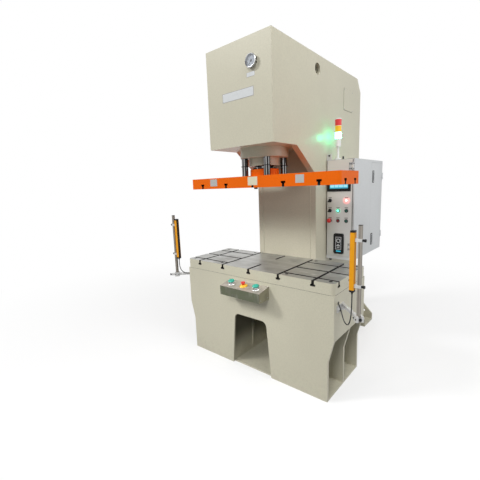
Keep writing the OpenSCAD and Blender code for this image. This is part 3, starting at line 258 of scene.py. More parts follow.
class Graph(Tree):
    """The node tree of one material, with its Principled shader."""

    PREVIEW = (0.6, 0.6, 0.6, 1.0)

    def __init__(self, name: str) -> None:
        """Makes the material with an empty tree.

        Args:
            name: the material's name.
        """
        self.material = bpy.data.materials.new(name)
        self.material.use_nodes = True
        super().__init__(self.material.node_tree)
        self.shader = self.node("ShaderNodeBsdfPrincipled")
        self.output = self.node("ShaderNodeOutputMaterial", {}, {"Surface": self.shader.outputs[0]})
        self._coordinates: bpy.types.Node | None = None

    def place(self) -> Socket:
        """The Object coordinates, which are the frame's own metres.

        Returns:
            The output of the one node that gives them.
        """
        if self._coordinates is None:
            self._coordinates = self.node("ShaderNodeTexCoord")
        return self._coordinates.outputs["Object"]

    def normal(self) -> Socket:
        """The way that the surface faces."""
        return self.node("ShaderNodeNewGeometry").outputs["Normal"]

    def axes(self, vector: Socket | None = None) -> tuple[Value, ...]:
        """The three parts of a vector.

        Args:
            vector: the vector, or None for the Object coordinates.

        Returns:
            The parts along X, Y and Z.
        """
        parts = self.node("ShaderNodeSeparateXYZ", {}, {0: self.place() if vector is None else vector})
        return tuple(Value(self, out) for out in parts.outputs)

    def noise(self, scale: float, detail: float = 3.0, along: Point | None = None, over: Socket | None = None) -> Value:
        """Noise over the piece.

        Args:
            scale: how many features there are in a metre.
            detail: the number of octaves.
            along: how the coordinates are stretched first.
            over: a vector to read in place of the coordinates.

        Returns:
            The noise, about 0.5 on average.
        """
        vector = self.place() if over is None else over
        if along:
            vector = self.node("ShaderNodeMapping", {}, {"Vector": vector, "Scale": along}).outputs[0]
        inputs = {"Vector": vector, "Scale": scale, "Detail": detail}
        return Value(self, self.node("ShaderNodeTexNoise", {}, inputs).outputs[0])

    def blend(self, mask: Any, first: Any, second: Any) -> Socket:
        """Mixes two colours.

        Args:
            mask: 0 gives the first colour and 1 the second.
            first: a colour or link.
            second: a colour or link.

        Returns:
            The mixed colour.
        """
        return self.node("ShaderNodeMix", {"data_type": "RGBA"}, {0: mask, 6: first, 7: second}).outputs[2]

    def bump(self, height: Value, distance: float) -> None:
        """Raises the surface by a height map.

        Args:
            height: the map, from 0 to 1.
            distance: the height in metres that 1 stands for.
        """
        node = self.node("ShaderNodeBump", {}, {"Height": height, "Distance": distance, "Strength": 1.0})
        self.feed(self.shader.inputs["Normal"], node.outputs[0])

    def worn_edges(self, radius: float) -> Value:
        """Finds the outer edges, from the angle between the plain normal and a rounded one.

        Args:
            radius: how far from an edge the rounding reaches.

        Returns:
            A mask that is 1 on outer edges.
        """
        rounded = self.node("ShaderNodeBevel", {"samples": 4}, {"Radius": radius})
        both = {0: rounded.outputs[0], 1: self.normal()}
        turned = self.node("ShaderNodeVectorMath", {"operation": "DOT_PRODUCT"}, both)
        return 1.0 - Value(self, turned.outputs["Value"]).ramp(0.82, 0.995)

    def finish(self, colour: Any, roughness: Any, metallic: Any = 0.0, **others: Any) -> Material:
        """Sets the shader and returns the material.

        Args:
            colour: the base colour or its link.
            roughness: a number or value.
            metallic: a number or value from 0 to 1.
            others: other inputs of the shader, with underscores for spaces.

        Returns:
            The finished material.
        """
        inputs = {"Base Color": colour, "Roughness": roughness, "Metallic": metallic}
        inputs.update((key.replace("_", " "), value) for key, value in others.items())
        for key, value in inputs.items():
            self.feed(self.shader.inputs[key], value)
        self.material.diffuse_color = self.PREVIEW
        return self.material


@dataclass(frozen=True)
class Finish(ABC):
    """A finish of the machine, found by its name."""

    name: str

    @abstractmethod
    def material(self) -> Material:
        """Builds the finish and returns its material."""


@dataclass(frozen=True)
class Enamel(Finish):
    """Sprayed enamel on steel, with orange peel, dust near the floor, bare edges and painted shade inside a box."""

    colour: Colour
    roughness: float = 0.38
    coat: float = 0.08
    specular: float = 0.34
    peel: float = 0.00006
    dust: Colour = (0.30, 0.27, 0.21)
    dust_top: float = 0.22
    bare: Colour = (0.20, 0.19, 0.17)
    wear: float = 0.35
    worn: float = 1.4 * MM
    # Painted shade: a box in which the paint is darkened, and the near-black colour that it darkens towards.
    painted_shade_box: tuple[Point, Point] | None = None
    painted_shade_colour: Colour = (0.055, 0.052, 0.034)

    def material(self) -> Material:
        """Builds the paint.

        Returns:
            The material.
        """
        graph = Graph(self.name)
        cloud = graph.noise(1.7)
        mottle = graph.noise(38.0)
        grit = graph.noise(230.0, 2.0)
        spray = graph.noise(80.0, 2.0)
        tone = graph.blend(cloud.ramp(0.35, 0.75), self.colour, dimmed(self.colour, 0.93))
        tone = graph.blend(grit.ramp(0.46, 0.72) * 0.34, tone, dimmed(self.colour, 0.80))
        tone = graph.blend(spray.ramp(0.42, 0.62) * 0.30, tone, dimmed(self.colour, 0.86))
        rough = self.roughness + mottle * 0.10
        if self.dust_top:
            height = graph.axes()[2]
            low = (1.0 - height.ramp(0.0, self.dust_top)) * mottle.ramp(0.40, 0.75) * 0.16
            tone = graph.blend(low, tone, self.dust)
            rough = rough + low * 0.5
        # Painted shade: inside the box the paint darkens towards near-black, more so from 3 cm up to 28 cm, where the
        # bed's plates shade the arch.
        if self.painted_shade_box:
            axes = graph.axes()
            within = axes[2].ramp(0.03, 0.28) * 0.86
            for axis, start, end in zip(axes, *self.painted_shade_box):
                within = (axis > start) * (axis < end) * within
            tone = graph.blend(within, tone, self.painted_shade_colour)
        chips = graph.worn_edges(self.worn) * graph.noise(120.0, 2.0).ramp(0.52, 0.66) * self.wear
        tone = graph.blend(chips, tone, self.bare)
        graph.bump(grit + mottle * 0.6, self.peel)
        return graph.finish(tone, rough, Coat_Weight=self.coat, Coat_Roughness=0.14, Specular_IOR_Level=self.specular)


@dataclass(frozen=True)
class GroundSteel(Finish):
    """Surface-ground steel with crossing marks, wheel passes and oil stains."""

    name: str = "ground_steel"
    colour: Colour = (0.44, 0.445, 0.42)
    dark: Colour = (0.235, 0.23, 0.21)
    light: Colour = (0.58, 0.58, 0.57)
    scuffed: Colour = (0.82, 0.82, 0.80)

    def material(self) -> Material:
        """Builds the steel.

        Returns:
            The material.
        """
        graph = Graph(self.name)
        lines = graph.noise(60.0, 3.0, (1.0, 26.0, 26.0))
        passes = graph.noise(6.0, 2.0, (0.15, 3.0, 1.0))
        stains = graph.noise(4.2, 5.0).ramp(0.47, 0.72)
        scuffs = graph.noise(9.0, 4.0, (1.0, 7.0, 1.0)).ramp(0.60, 0.70) * graph.noise(3.0, 2.0).ramp(0.45, 0.6)
        tone = graph.blend(lines, dimmed(self.colour, 0.78), self.colour)
        tone = graph.blend(passes.ramp(0.35, 0.7) * 0.36, tone, self.light)
        tone = graph.blend(stains * 0.62, tone, self.dark)
        tone = graph.blend(scuffs * 0.75, tone, self.scuffed)
        graph.bump(lines, 0.00005)
        return graph.finish(tone, 0.30 + lines * 0.14 + stains * 0.14, 0.75)


@dataclass(frozen=True)
class BrightSteel(Finish):
    """Turned steel, brass or blackened steel with faint rings along Z."""

    colour: Colour
    roughness: float

    def material(self) -> Material:
        """Builds the metal.

        Returns:
            The material.
        """
        graph = Graph(self.name)
        rings = graph.noise(50.0, 2.0, (1.0, 1.0, 40.0))
        film = graph.noise(14.0, 4.0)
        tone = graph.blend(film.ramp(0.4, 0.8) * 0.25, self.colour, dimmed(self.colour, 0.6))
        graph.bump(rings, 0.00001)
        return graph.finish(tone, self.roughness + film * 0.10 + rings * 0.04, 1.0)


@dataclass(frozen=True)
class OiledChrome(Finish):
    """Hard chrome with painted reflections: dark and bright bands set by the way the surface faces, broken by streaks
    drawn out along Z.
    """

    name: str = "chromed_rod"
    colour: Colour = (0.50, 0.49, 0.48)
    dark_reflection: Colour = (0.035, 0.034, 0.034)
    reflection_band: tuple[float, float] = (0.40, 0.52)

    def material(self) -> Material:
        """Builds the chrome.

        Returns:
            The material.
        """
        graph = Graph(self.name)
        # Painted reflection: the chrome is darkened in bands set by the way the surface faces, standing for dark
        # surroundings mirrored in it.
        painted_reflection = graph.noise(1.9, 1.5, over=graph.normal())
        film = graph.noise(20.0, 3.0, (1.0, 1.0, 0.25))
        tone = graph.blend((painted_reflection + film * 0.12).ramp(*self.reflection_band), self.colour, self.dark_reflection)
        return graph.finish(tone, 0.12 + film * 0.10, 0.95)


@dataclass(frozen=True)
class ConsoleSheet(Finish):
    """Brushed sheet of the console, with painted light and shade by facing: a lit top, a front shaded nearly black and
    half-shaded ends.
    """

    name: str = "console_sheet"
    # Painted light and shade: the top colour is lit, the front colour is shaded nearly black and the end colour is half
    # shaded.
    top: Colour = (0.56, 0.52, 0.46)
    front: Colour = (0.086, 0.108, 0.052)
    end: Colour = (0.33, 0.32, 0.22)

    def material(self) -> Material:
        """Builds the sheet.

        Returns:
            The material.
        """
        graph = Graph(self.name)
        grain = graph.noise(90.0, 3.0, (0.6, 30.0, 30.0))
        smear = graph.noise(26.0, 4.0)
        runs = graph.noise(24.0, 3.0, (1.0, 1.0, 0.25))
        across, _, up = graph.axes(graph.normal())
        # Painted light and shade by facing: faces along X get the end colour, the other sides the front colour, and
        # faces that look up the lit top colour.
        sides = graph.blend(abs(across).ramp(0.4, 0.8), self.front, self.end)
        tone = graph.blend(up.ramp(0.3, 0.8), sides, self.top)
        tone = graph.blend(grain * 0.35, tone, dimmed(self.top, 0.50))
        tone = graph.blend(runs.ramp(0.50, 0.70) * 0.30, tone, dimmed(self.top, 0.70))
        tone = graph.blend(smear.ramp(0.42, 0.72) * 0.40, tone, dimmed(self.top, 0.30))
        graph.bump(grain, 0.00003)
        return graph.finish(tone, 0.34 + grain * 0.16, 0.55)


@dataclass(frozen=True)
class LampPanel(Finish):
    """Brushed sheet of the cabinet's door, with painted shade darker towards the bottom and painted pools of light
    round its two lamps.
    """

    name: str = "cabinet_front"
    colour: Colour = (0.78, 0.755, 0.72)
    shaded_low_colour: Colour = (0.66, 0.67, 0.66)
    red_lamp: tuple[float, float] = (0.472, 1.335)
    red_painted_light: Colour = (1.0, 0.15, 0.15)
    green_lamp: tuple[float, float] = (0.400, 1.249)
    green_painted_light: Colour = (0.03, 0.40, 0.23)

    def material(self) -> Material:
        """Builds the sheet.

        Returns:
            The material.
        """
        graph = Graph(self.name)
        grain = graph.noise(130.0, 3.0, (22.0, 22.0, 0.4))
        broad = graph.noise(4.0, 2.0, (2.0, 1.0, 0.6))
        x, _, z = graph.axes()
        # Painted shade: the sheet blends from the top colour above 1.62 m to the darker low colour below 1.05 m, with a
        # noisy edge.
        tone = graph.blend((z + broad * 0.25).ramp(1.05, 1.62), self.shaded_low_colour, self.colour)
        tone = graph.blend(grain * 0.4, tone, dimmed(self.colour, 0.74))
        # Painted light: red and green pools glow on the sheet round the two lamps.
        light = graph.blend(self._painted_pool(x, z, self.red_lamp, 0.0019), (0.0, 0.0, 0.0), self.red_painted_light)
        light = graph.blend(self._painted_pool(x, z, self.green_lamp, 0.0013), light, self.green_painted_light)
        graph.bump(grain, 0.00003)
        return graph.finish(tone, 0.33 + grain * 0.16, 0.40, Emission_Color=light, Emission_Strength=1.0)

    def _painted_pool(self, x: Value, z: Value, lamp: tuple[float, float], reach: float) -> Value:
        """How much of a lamp's painted pool of light falls on the sheet.

        Args:
            x: the place across.
            z: the height.
            lamp: the lamp's place across and height.
            reach: the square of the distance where the painted light ends.

        Returns:
            1 at the lamp, falling to 0 at its reach.
        """
        across, up = x - lamp[0], z - lamp[1]
        near = 1.0 - (across * across + up * up).ramp(0.0, reach)
        return near * near


@dataclass(frozen=True)
class Casting(Finish):
    """Rough casting, and the near-black painted shade in slots, gaps and seams."""

    colour: Colour

    def material(self) -> Material:
        """Builds the casting.

        Returns:
            The material.
        """
        graph = Graph(self.name)
        grit = graph.noise(260.0, 4.0)
        film = graph.noise(8.0)
        tone = graph.blend(film.ramp(0.4, 0.8) * 0.5, self.colour, dimmed(self.colour, 0.6))
        graph.bump(grit, 0.0004)
        return graph.finish(tone, 0.5 + grit * 0.2)


@dataclass(frozen=True)
class Moulded(Finish):
    """Moulded plastic, glossy or grained, lit from inside where it glows."""

    colour: Colour
    roughness: float = 0.35
    grain: float = 0.00003
    glow: float = 0.0
    light: Colour | None = None
    specular: float = 0.5

    def material(self) -> Material:
        """Builds the plastic.

        Returns:
            The material.
        """
        graph = Graph(self.name)
        speck = graph.noise(700.0, 2.0)
        touch = graph.noise(30.0)
        tone = graph.blend(touch.ramp(0.45, 0.8) * 0.25, self.colour, dimmed(self.colour, 0.72))
        graph.bump(speck, self.grain)
        others: dict[str, Any] = {"Specular_IOR_Level": self.specular}
        if self.glow:
            light = self.light or self.colour
            others["Emission_Color"] = graph.blend(touch.ramp(0.4, 0.8) * 0.3, light, dimmed(light, 0.85))
            others["Emission_Strength"] = self.glow
        return graph.finish(tone, self.roughness + touch * 0.12, **others)


@dataclass(frozen=True)
class TwoPart(Finish):
    """Two finishes on one node, parted by a box: the first inside it and the second outside."""

    inside: Colour
    outside: Colour
    low: Point
    high: Point
    metallic: float = 0.0

    def material(self) -> Material:
        """Builds the pair.

        Returns:
            The material.
        """
        graph = Graph(self.name)
        within: Any = 1.0
        for axis, low, high in zip(graph.axes(), self.low, self.high):
            within = (axis > low) * (axis < high) * within
        touch = graph.noise(34.0)
        tone = graph.blend(within, self.outside, self.inside)
        tone = graph.blend(touch.ramp(0.45, 0.8) * 0.22, tone, dimmed(self.outside, 0.6))
        graph.bump(graph.noise(600.0, 2.0), 0.00003)
        return graph.finish(tone, 0.26 + touch * 0.14, (1.0 - within) * self.metallic)


@dataclass(frozen=True)
class Anodised(Finish):
    """Anodised or painted aluminium extrusion, drawn along Z."""

    colour: Colour
    metallic: float
    roughness: float = 0.36

    def material(self) -> Material:
        """Builds the aluminium.

        Returns:
            The material.
        """
        graph = Graph(self.name)
        drawn = graph.noise(160.0, 2.0, (1.0, 1.0, 0.02))
        rub = graph.noise(18.0, 4.0)
        tone = graph.blend(drawn * 0.5, self.colour, dimmed(self.colour, 0.84))
        tone = graph.blend(rub.ramp(0.5, 0.8) * 0.25, tone, dimmed(self.colour, 0.6))
        graph.bump(drawn, 0.00002)
        return graph.finish(tone, self.roughness + rub * 0.12, self.metallic, Specular_IOR_Level=0.28)


@dataclass(frozen=True)
class ClearPane(Finish):
    """The clear pane over the dial."""

    name: str = "clear_pane"
    colour: Colour = (0.95, 0.97, 0.98)

    def material(self) -> Material:
        """Builds the pane.

        Returns:
            The material.
        """
        graph = Graph(self.name)
        smear = graph.noise(40.0)
        graph.material.surface_render_method = "BLENDED"
        return graph.finish(self.colour, 0.04 + smear.ramp(0.5, 0.8) * 0.06, Alpha=0.10)


class Paintbox:
    """Every finish of the machine, built once and found by name."""

    FINISHES: ClassVar[tuple[Finish, ...]] = (
        # The cream paint carries painted shade inside the bed's arch, in the box given below.
        Enamel("cream_paint", (0.592, 0.566, 0.444), coat=0.22, specular=0.24,
               painted_shade_box=((-0.2075, -0.237, 0.0), (0.2075, 0.2875, 0.76))),
        Enamel("orange_paint", (0.90, 0.150, 0.002), 0.40, 0.0, 0.12, wear=0.5, dust_top=0.0),
        Enamel("cabinet_paint", (0.66, 0.68, 0.69), 0.42, 0.05, 0.4, 0.00010, wear=0.12, dust_top=0.0),
        Enamel("tank_paint", (0.17, 0.22, 0.24), 0.4, 0.2),
        Enamel("motor_paint", (0.07, 0.12, 0.18), 0.4, 0.2),
        GroundSteel(),
        # The rods' chrome carries painted reflections.
        OiledChrome(),
        BrightSteel("turned_steel", (0.50, 0.50, 0.50), 0.28),
        BrightSteel("bright_ring", (0.74, 0.75, 0.76), 0.16),
        BrightSteel("dark_ring", (0.075, 0.078, 0.080), 0.30),
        # The gauge's bezel carries the same painted reflections as the rods.
        OiledChrome("chrome_bezel", (0.62, 0.63, 0.65), (0.10, 0.10, 0.11), (0.52, 0.66)),
        BrightSteel("bronze", (0.60, 0.40, 0.16), 0.30),
        BrightSteel("black_steel", (0.03, 0.03, 0.033), 0.38),
        ConsoleSheet(),
        LampPanel(),
        Casting("pump_casting", (0.10, 0.11, 0.12)),
        # Near-black painted shade for the insides of the T-slots of the table and the platen.
        Casting("slot_shade_steel", (0.020, 0.019, 0.017)),
        Casting("slot_shade_black", (0.012, 0.011, 0.011)),
        Casting("joint_shadow", (0.060, 0.056, 0.045)),
        Moulded("black_plastic", (0.012, 0.012, 0.013), 0.42, specular=0.2),
        Moulded("dark_pane", (0.008, 0.010, 0.014), 0.12, 0.00001, specular=0.35),
        Moulded("lens_dark", (0.030, 0.012, 0.014), 0.08, 0.00001),
        Moulded("pale_plate", (0.60, 0.62, 0.63), 0.40),
        Moulded("grey_tag", (0.46, 0.46, 0.45), 0.34),
        Moulded("ivory_tag", (0.72, 0.68, 0.50), 0.40),
        Moulded("dim_tag", (0.33, 0.32, 0.31), 0.42),
        Moulded("pale_dial", (0.33, 0.37, 0.43), 0.45),
        Moulded("grey_relay", (0.55, 0.56, 0.54), 0.45),
        Moulded("socket_plate", (0.40, 0.41, 0.43), 0.30),
        Moulded("pole_plastic", (0.80, 0.81, 0.80), 0.22),
        Moulded("teal_palm", (0.03, 0.42, 0.31), 0.24),
        Moulded("red_knob", (0.70, 0.030, 0.028), 0.25),
        Moulded("dark_red_knob", (0.26, 0.014, 0.016), 0.28),
        Moulded("dark_green_knob", (0.006, 0.11, 0.075), 0.28),
        Moulded("lit_green", (0.10, 0.80, 0.42), 0.25, glow=2.0, light=(0.16, 1.0, 0.62)),
        Moulded("lit_red", (0.90, 0.06, 0.05), 0.25, glow=2.4, light=(1.0, 0.56, 0.53)),
        # Painted light: the ring round the power lamp glows red as if lit by the lamp.
        Moulded("lamp_rim", (0.80, 0.28, 0.26), 0.25, glow=0.85, light=(1.0, 0.36, 0.34)),
        Moulded("lens_red", (0.66, 0.035, 0.04), 0.16, glow=0.10),
        Moulded("lens_yellow", (0.86, 0.50, 0.02), 0.16, glow=0.10),
        Moulded("lens_green", (0.30, 0.85, 0.60), 0.16, glow=22.0, light=(0.06, 1.0, 0.47)),
        Moulded("screen_cyan", (0.03, 0.36, 0.50), 0.30, glow=0.75),
        Moulded("screen_pale", (0.30, 0.66, 0.78), 0.30, glow=0.55),
        Moulded("screen_blue", (0.02, 0.10, 0.22), 0.30, glow=0.3),
        TwoPart("console_collars", (0.90, 0.52, 0.02), (0.72, 0.73, 0.75),
                (-0.034, -1.0, 0.0), (0.034, 0.0, 1.0), 0.9),
        TwoPart("cabinet_fittings", (0.62, 0.63, 0.62), (0.022, 0.022, 0.024),
                (0.2, 0.4957, 1.6716), (0.337, 0.60, 1.80)),
        Anodised("curtain_yellow", (0.86, 0.36, 0.005), 0.0),
        Anodised("post_aluminium", (0.36, 0.33, 0.29), 0.5),
        Anodised("arm_metal", (0.66, 0.66, 0.65), 0.45, 0.30),
        Moulded("cable_sheath", (0.012, 0.012, 0.013), 0.45, 0.00006),
        ClearPane(),
    )

    def __init__(self) -> None:
        """Builds the finishes."""
        self._made = {finish.name: finish.material() for finish in self.FINISHES}

    def __getitem__(self, name: str) -> Material:
        """The material of that name."""
        return self._made[name]


class Meshes:
    """Mesh code that the sub-assemblies share."""

    SHARP = math.radians(35.0)

    @staticmethod
    def wrap(name: str, mesh: bpy.types.Mesh, material: Material | None = None) -> Object:
        """Puts a mesh in the scene at the origin.

        Args:
            name: the object's name.
            mesh: the mesh.
            material: its finish.

        Returns:
            The object.
        """
        if material is not None:
            mesh.materials.clear()
            mesh.materials.append(material)
        return placed(name, mesh)

    @staticmethod
    def from_form(name: str, form: Form, material: Material, smooth: bool = False) -> Object:
        """Turns a form into an object with its faces pointing outwards.

        Args:
            name: the object's name.
            form: the form, which is freed.
            material: its finish.
            smooth: True shades it smooth, with its hard edges kept.

        Returns:
            The new object.
        """
        bmesh.ops.recalc_face_normals(form, faces=form.faces)
        for face in form.faces:
            face.smooth = smooth
        mesh = bpy.data.meshes.new(name)
        form.to_mesh(mesh)
        form.free()
        if smooth:
            mesh.set_sharp_from_angle(angle=Meshes.SHARP)
        return Meshes.wrap(name, mesh, material)

    @staticmethod
    def turn_to(direction: Vector, place: Sequence[float]) -> Matrix:
        """The matrix that stands the local Z axis along a direction at a place."""
        turn = UP.rotation_difference(Vector(direction).normalized()).to_matrix().to_4x4()
        return Matrix.Translation(Vector(place)) @ turn

    @staticmethod
    def lathe(profile: Profile, steps: int, at: Matrix | None = None) -> Form:
        """Turns a profile about the local Z axis.

        Args:
            profile: its radii and heights in millimetres; a radius of 0 makes a pole, and a profile
                that ends where it starts is a ring.
            steps: the number of sides.
            at: where the turned form goes, or None for the origin.

        Returns:
            The closed form.
        """
        form = bmesh.new()
        rings = []
        closed = profile[0] == profile[-1]
        angles = [math.tau * k / steps for k in range(steps)]
        for radius, height in profile[:-1] if closed else profile:
            r, z = radius * MM, height * MM
            if radius:
                rings.append([form.verts.new((r * math.cos(angle), r * math.sin(angle), z)) for angle in angles])
            else:
                rings.append([form.verts.new((0.0, 0.0, z))] * steps)
        if closed:
            rings.append(rings[0])
        for low, high in zip(rings, rings[1:]):
            for k in range(steps):
                n = (k + 1) % steps
                corners = list(dict.fromkeys((low[k], low[n], high[n], high[k])))
                if len(corners) > 2:
                    form.faces.new(corners)
        if at is not None:
            bmesh.ops.transform(form, matrix=at, verts=form.verts)
        return form

    @staticmethod
    def fluted(form: Form, beyond: float, count: int, depth: float, sign: int) -> None:
        """Draws the rim of a turned form inwards in even waves.

        Args:
            form: the form, about the Z axis.
            beyond: the radius from which the rim starts.
            count: the number of waves.
            depth: half the share of the radius that a wave takes off.
            sign: 1 starts with a trough at X, and -1 with a crest.
        """
        for vert in form.verts:
            if math.hypot(vert.co.x, vert.co.y) > beyond:
                angle = math.atan2(vert.co.y, vert.co.x)
                wave = 1.0 - depth - sign * depth * math.cos(count * angle)
                vert.co.x *= wave
                vert.co.y *= wave

    @staticmethod
    def prism(outline: Sequence[Vector], along: Vector) -> Form:
        """Draws a closed outline along a vector.

        Args:
            outline: the outline's points, in one plane.
            along: the way and length that it is drawn.

        Returns:
            The closed form.
        """
        form = bmesh.new()
        near = [form.verts.new(point) for point in outline]
        far = [form.verts.new(point + along) for point in outline]
        form.faces.new(near)
        form.faces.new(far[::-1])
        for k in range(len(near)):
            n = (k + 1) % len(near)
            form.faces.new([near[n], near[k], far[k], far[n]])
        return form

    @staticmethod
    def slab(low: Sequence[float], high: Sequence[float], round_off: float = 0.0) -> Form:
        """A box between two corners, with its edges rounded.

        Args:
            low: the lowest corner.
            high: the highest corner.
            round_off: the radius of the edges, in millimetres.

        Returns:
            The box.
        """
        form = bmesh.new()
        bmesh.ops.create_cube(form, size=1.0)
        size = [b - a for a, b in zip(low, high)]
        middle = [(a + b) / 2 for a, b in zip(low, high)]
        bmesh.ops.transform(form, matrix=Matrix.Translation(middle) @ Matrix.Diagonal((*size, 1)), verts=form.verts)
        if round_off:
            edges = form.edges[:]
            bmesh.ops.bevel(form, geom=edges, offset=round_off * MM, segments=2, profile=0.5, affect="EDGES")
        return form

    @staticmethod
    def block(at: Sequence[float], low: Point, high: Point, round_off: float = 0.0) -> Form:
        """A slab whose corners are counted from a place.

        Args:
            at: the place.
            low: the lowest corner from there, in millimetres.
            high: the highest corner from there, in millimetres.
            round_off: the radius of the edges, in millimetres.

        Returns:
            The box.
        """
        corners = [[start + step * MM for start, step in zip(at, corner)] for corner in (low, high)]
        return Meshes.slab(*corners, round_off)

    @staticmethod
    def join(forms: Iterable[Form]) -> Form:
        """Puts several forms into one.

        Args:
            forms: the forms, which are freed.

        Returns:
            The whole form.
        """
        whole = bmesh.new()
        for form in forms:
            mesh = bpy.data.meshes.new("part")
            form.to_mesh(mesh)
            form.free()
            whole.from_mesh(mesh)
            bpy.data.meshes.remove(mesh)
        return whole

    @staticmethod
    def bevelled(piece: Object, width: float, angle: float) -> None:
        """Breaks the hard edges of a piece.

        Args:
            piece: the piece.
            width: the width of the broken edges.
            angle: the angle in degrees that makes an edge hard.
        """
        edges = piece.modifiers.new("broken_edges", "BEVEL")
        edges.width = width
        edges.segments = 2
        edges.limit_method = "ANGLE"
        edges.angle_limit = math.radians(angle)
        Meshes.keep(piece)

    @staticmethod
    def keep(piece: Object) -> None:
        """Applies every modifier of a piece.

        Args:
            piece: the piece, whose mesh is replaced.
        """
        bpy.context.view_layer.update()
        graph = bpy.context.evaluated_depsgraph_get()
        mesh = bpy.data.meshes.new_from_object(piece.evaluated_get(graph))
        piece.modifiers.clear()
        piece.data = mesh


class GeometryTree(Tree):
    """A Geometry Nodes tree that makes plain pieces."""

    def __init__(self, name: str, **inputs: str) -> None:
        """Makes the tree with its sockets.

        Args:
            name: the tree's name.
            inputs: the kind of each input besides the geometry.
        """
        super().__init__(bpy.data.node_groups.new(name, "GeometryNodeTree"))
        for label, kind in {"Geometry": "Geometry", **inputs}.items():
            self.tree.interface.new_socket(label, in_out="INPUT", socket_type="NodeSocket" + kind)
        self.tree.interface.new_socket("Geometry", in_out="OUTPUT", socket_type="NodeSocketGeometry")
        self.given = self.node("NodeGroupInput").outputs

    def close(self, geometry: Socket) -> None:
        """Realises the geometry, paints it with the input "Finish" and sends it out.

        Args:
            geometry: what the tree made.
        """
        realise = self.node("GeometryNodeRealizeInstances", {}, {0: geometry})
        paint = {"Geometry": realise.outputs[0], "Material": self.given["Finish"]}
        self.node("NodeGroupOutput", {}, {0: self.node("GeometryNodeSetMaterial", {}, paint).outputs[0]})

    def run(self, name: str, mesh: bpy.types.Mesh, **values: Any) -> Object:
        """Runs the tree on a mesh and keeps the result as a plain piece.

        Args:
            name: the piece's name.
            mesh: the mesh.
            values: the tree's inputs by name.

        Returns:
            The piece, at the origin.
        """
        piece = Meshes.wrap(name, mesh)
        modifier = piece.modifiers.new(self.tree.name, "NODES")
        modifier.node_group = self.tree
        for item in self.tree.interface.items_tree:
            if item.name in values:
                modifier[item.identifier] = values[item.name]
        Meshes.keep(piece)
        return piece


class PointRepeater(GeometryTree):
    """Stands one form on each point of a mesh, along its facing and with a random turn about it."""

    FACING = "facing"
    SEED = 7

    def __init__(self) -> None:
        """Builds the tree."""
        super().__init__("form_on_points", Form="Object", Finish="Material")
        form = self.node("GeometryNodeObjectInfo", {}, {"Object": self.given["Form"]})
        facing = self.node("GeometryNodeInputNamedAttribute", {"data_type": "FLOAT_VECTOR"}, {"Name": self.FACING})
        align = self.node("FunctionNodeAlignRotationToVector", {"axis": "Z"}, {"Vector": facing.outputs["Attribute"]})
        spin = self.node("FunctionNodeRandomValue", {"data_type": "FLOAT"}, {3: math.tau, "Seed": self.SEED})
        turn = self.node("FunctionNodeAxisAngleToRotation", {}, {"Angle": spin.outputs[1]})
        both = {0: align.outputs[0], 1: turn.outputs[0]}
        combine = self.node("FunctionNodeRotateRotation", {"rotation_space": "LOCAL"}, both)
        stand = self.node("GeometryNodeInstanceOnPoints", {}, {
            "Points": self.given["Geometry"], "Instance": form.outputs["Geometry"], "Rotation": combine.outputs[0]})
        self.close(stand.outputs[0])

    def place(self, name: str, form: Form, spots: Sequence[Spot], finish: Material) -> Object:
        """Stands the form on every spot.

        Args:
            name: the piece's name.
            form: the form, upright on the origin.
            spots: pairs of a place and the direction that the form faces.
            finish: the material.

        Returns:
            The piece, at the origin.
        """
        single = Meshes.from_form(name + "_form", form, finish, smooth=True)
        mesh = bpy.data.meshes.new(name)
        mesh.from_pydata([tuple(place) for place, _ in spots], [], [])
        layer = mesh.attributes.new(self.FACING, "FLOAT_VECTOR", "POINT")
        for k, (_, facing) in enumerate(spots):
            layer.data[k].vector = Vector(facing).normalized()
        piece = self.run(name, mesh, Form=single, Finish=finish)
        bpy.data.objects.remove(single)
        return piece


class BeadTree(GeometryTree):
    """Lays a rippled bead along the edges of a mesh."""

    SIDES = 6
    RIPPLES = 160.0

    def __init__(self) -> None:
        """Builds the tree."""
        super().__init__("weld_bead", Radius="Float", Pitch="Float", Ripple="Float", Finish="Material")
        line = self.node("GeometryNodeMeshToCurve", {}, {0: self.given["Geometry"]})
        even = self.node("GeometryNodeResampleCurve", {"mode": "LENGTH"}, {
            "Curve": line.outputs[0], "Length": self.given["Pitch"]})
        ring = self.node("GeometryNodeCurvePrimitiveCircle", {}, {
            "Resolution": self.SIDES, "Radius": self.given["Radius"]})
        sweep = self.node("GeometryNodeCurveToMesh", {}, {
            "Curve": even.outputs[0], "Profile Curve": ring.outputs[0], "Fill Caps": True})
        noise = Value(self, self.node("ShaderNodeTexNoise", {}, {"Scale": self.RIPPLES}).outputs[0])
        grow = (noise - 0.5) * self.given["Ripple"]
        push = self.node("ShaderNodeVectorMath", {"operation": "SCALE"}, {
            0: self.node("GeometryNodeInputNormal").outputs[0], "Scale": grow})
        move = self.node("GeometryNodeSetPosition", {}, {"Geometry": sweep.outputs[0], "Offset": push.outputs[0]})
        smooth = self.node("GeometryNodeSetShadeSmooth", {}, {"Geometry": move.outputs[0]})
        self.close(smooth.outputs[0])

    def lay(
        self, name: str, runs: Sequence[Sequence[Point]], finish: Material,
        radius: float, ripple: float = 0.0018, pitch: float = 0.012
    ) -> Object:
        """Lays a bead along every run of points.

        Args:
            name: the piece's name.
            runs: the lines of points.
            finish: the paint over the bead.
            radius: the bead's radius.
            ripple: how rough it is.
            pitch: the length of its steps.

        Returns:
            The piece, at the origin.
        """
        points: list[Point] = []
        edges: list[tuple[int, int]] = []
        for run in runs:
            start = len(points)
            points.extend(run)
            edges.extend((start + k, start + k + 1) for k in range(len(run) - 1))
        mesh = bpy.data.meshes.new(name)
        mesh.from_pydata(points, edges, [])
        return self.run(name, mesh, Radius=radius, Pitch=pitch, Ripple=ripple, Finish=finish)


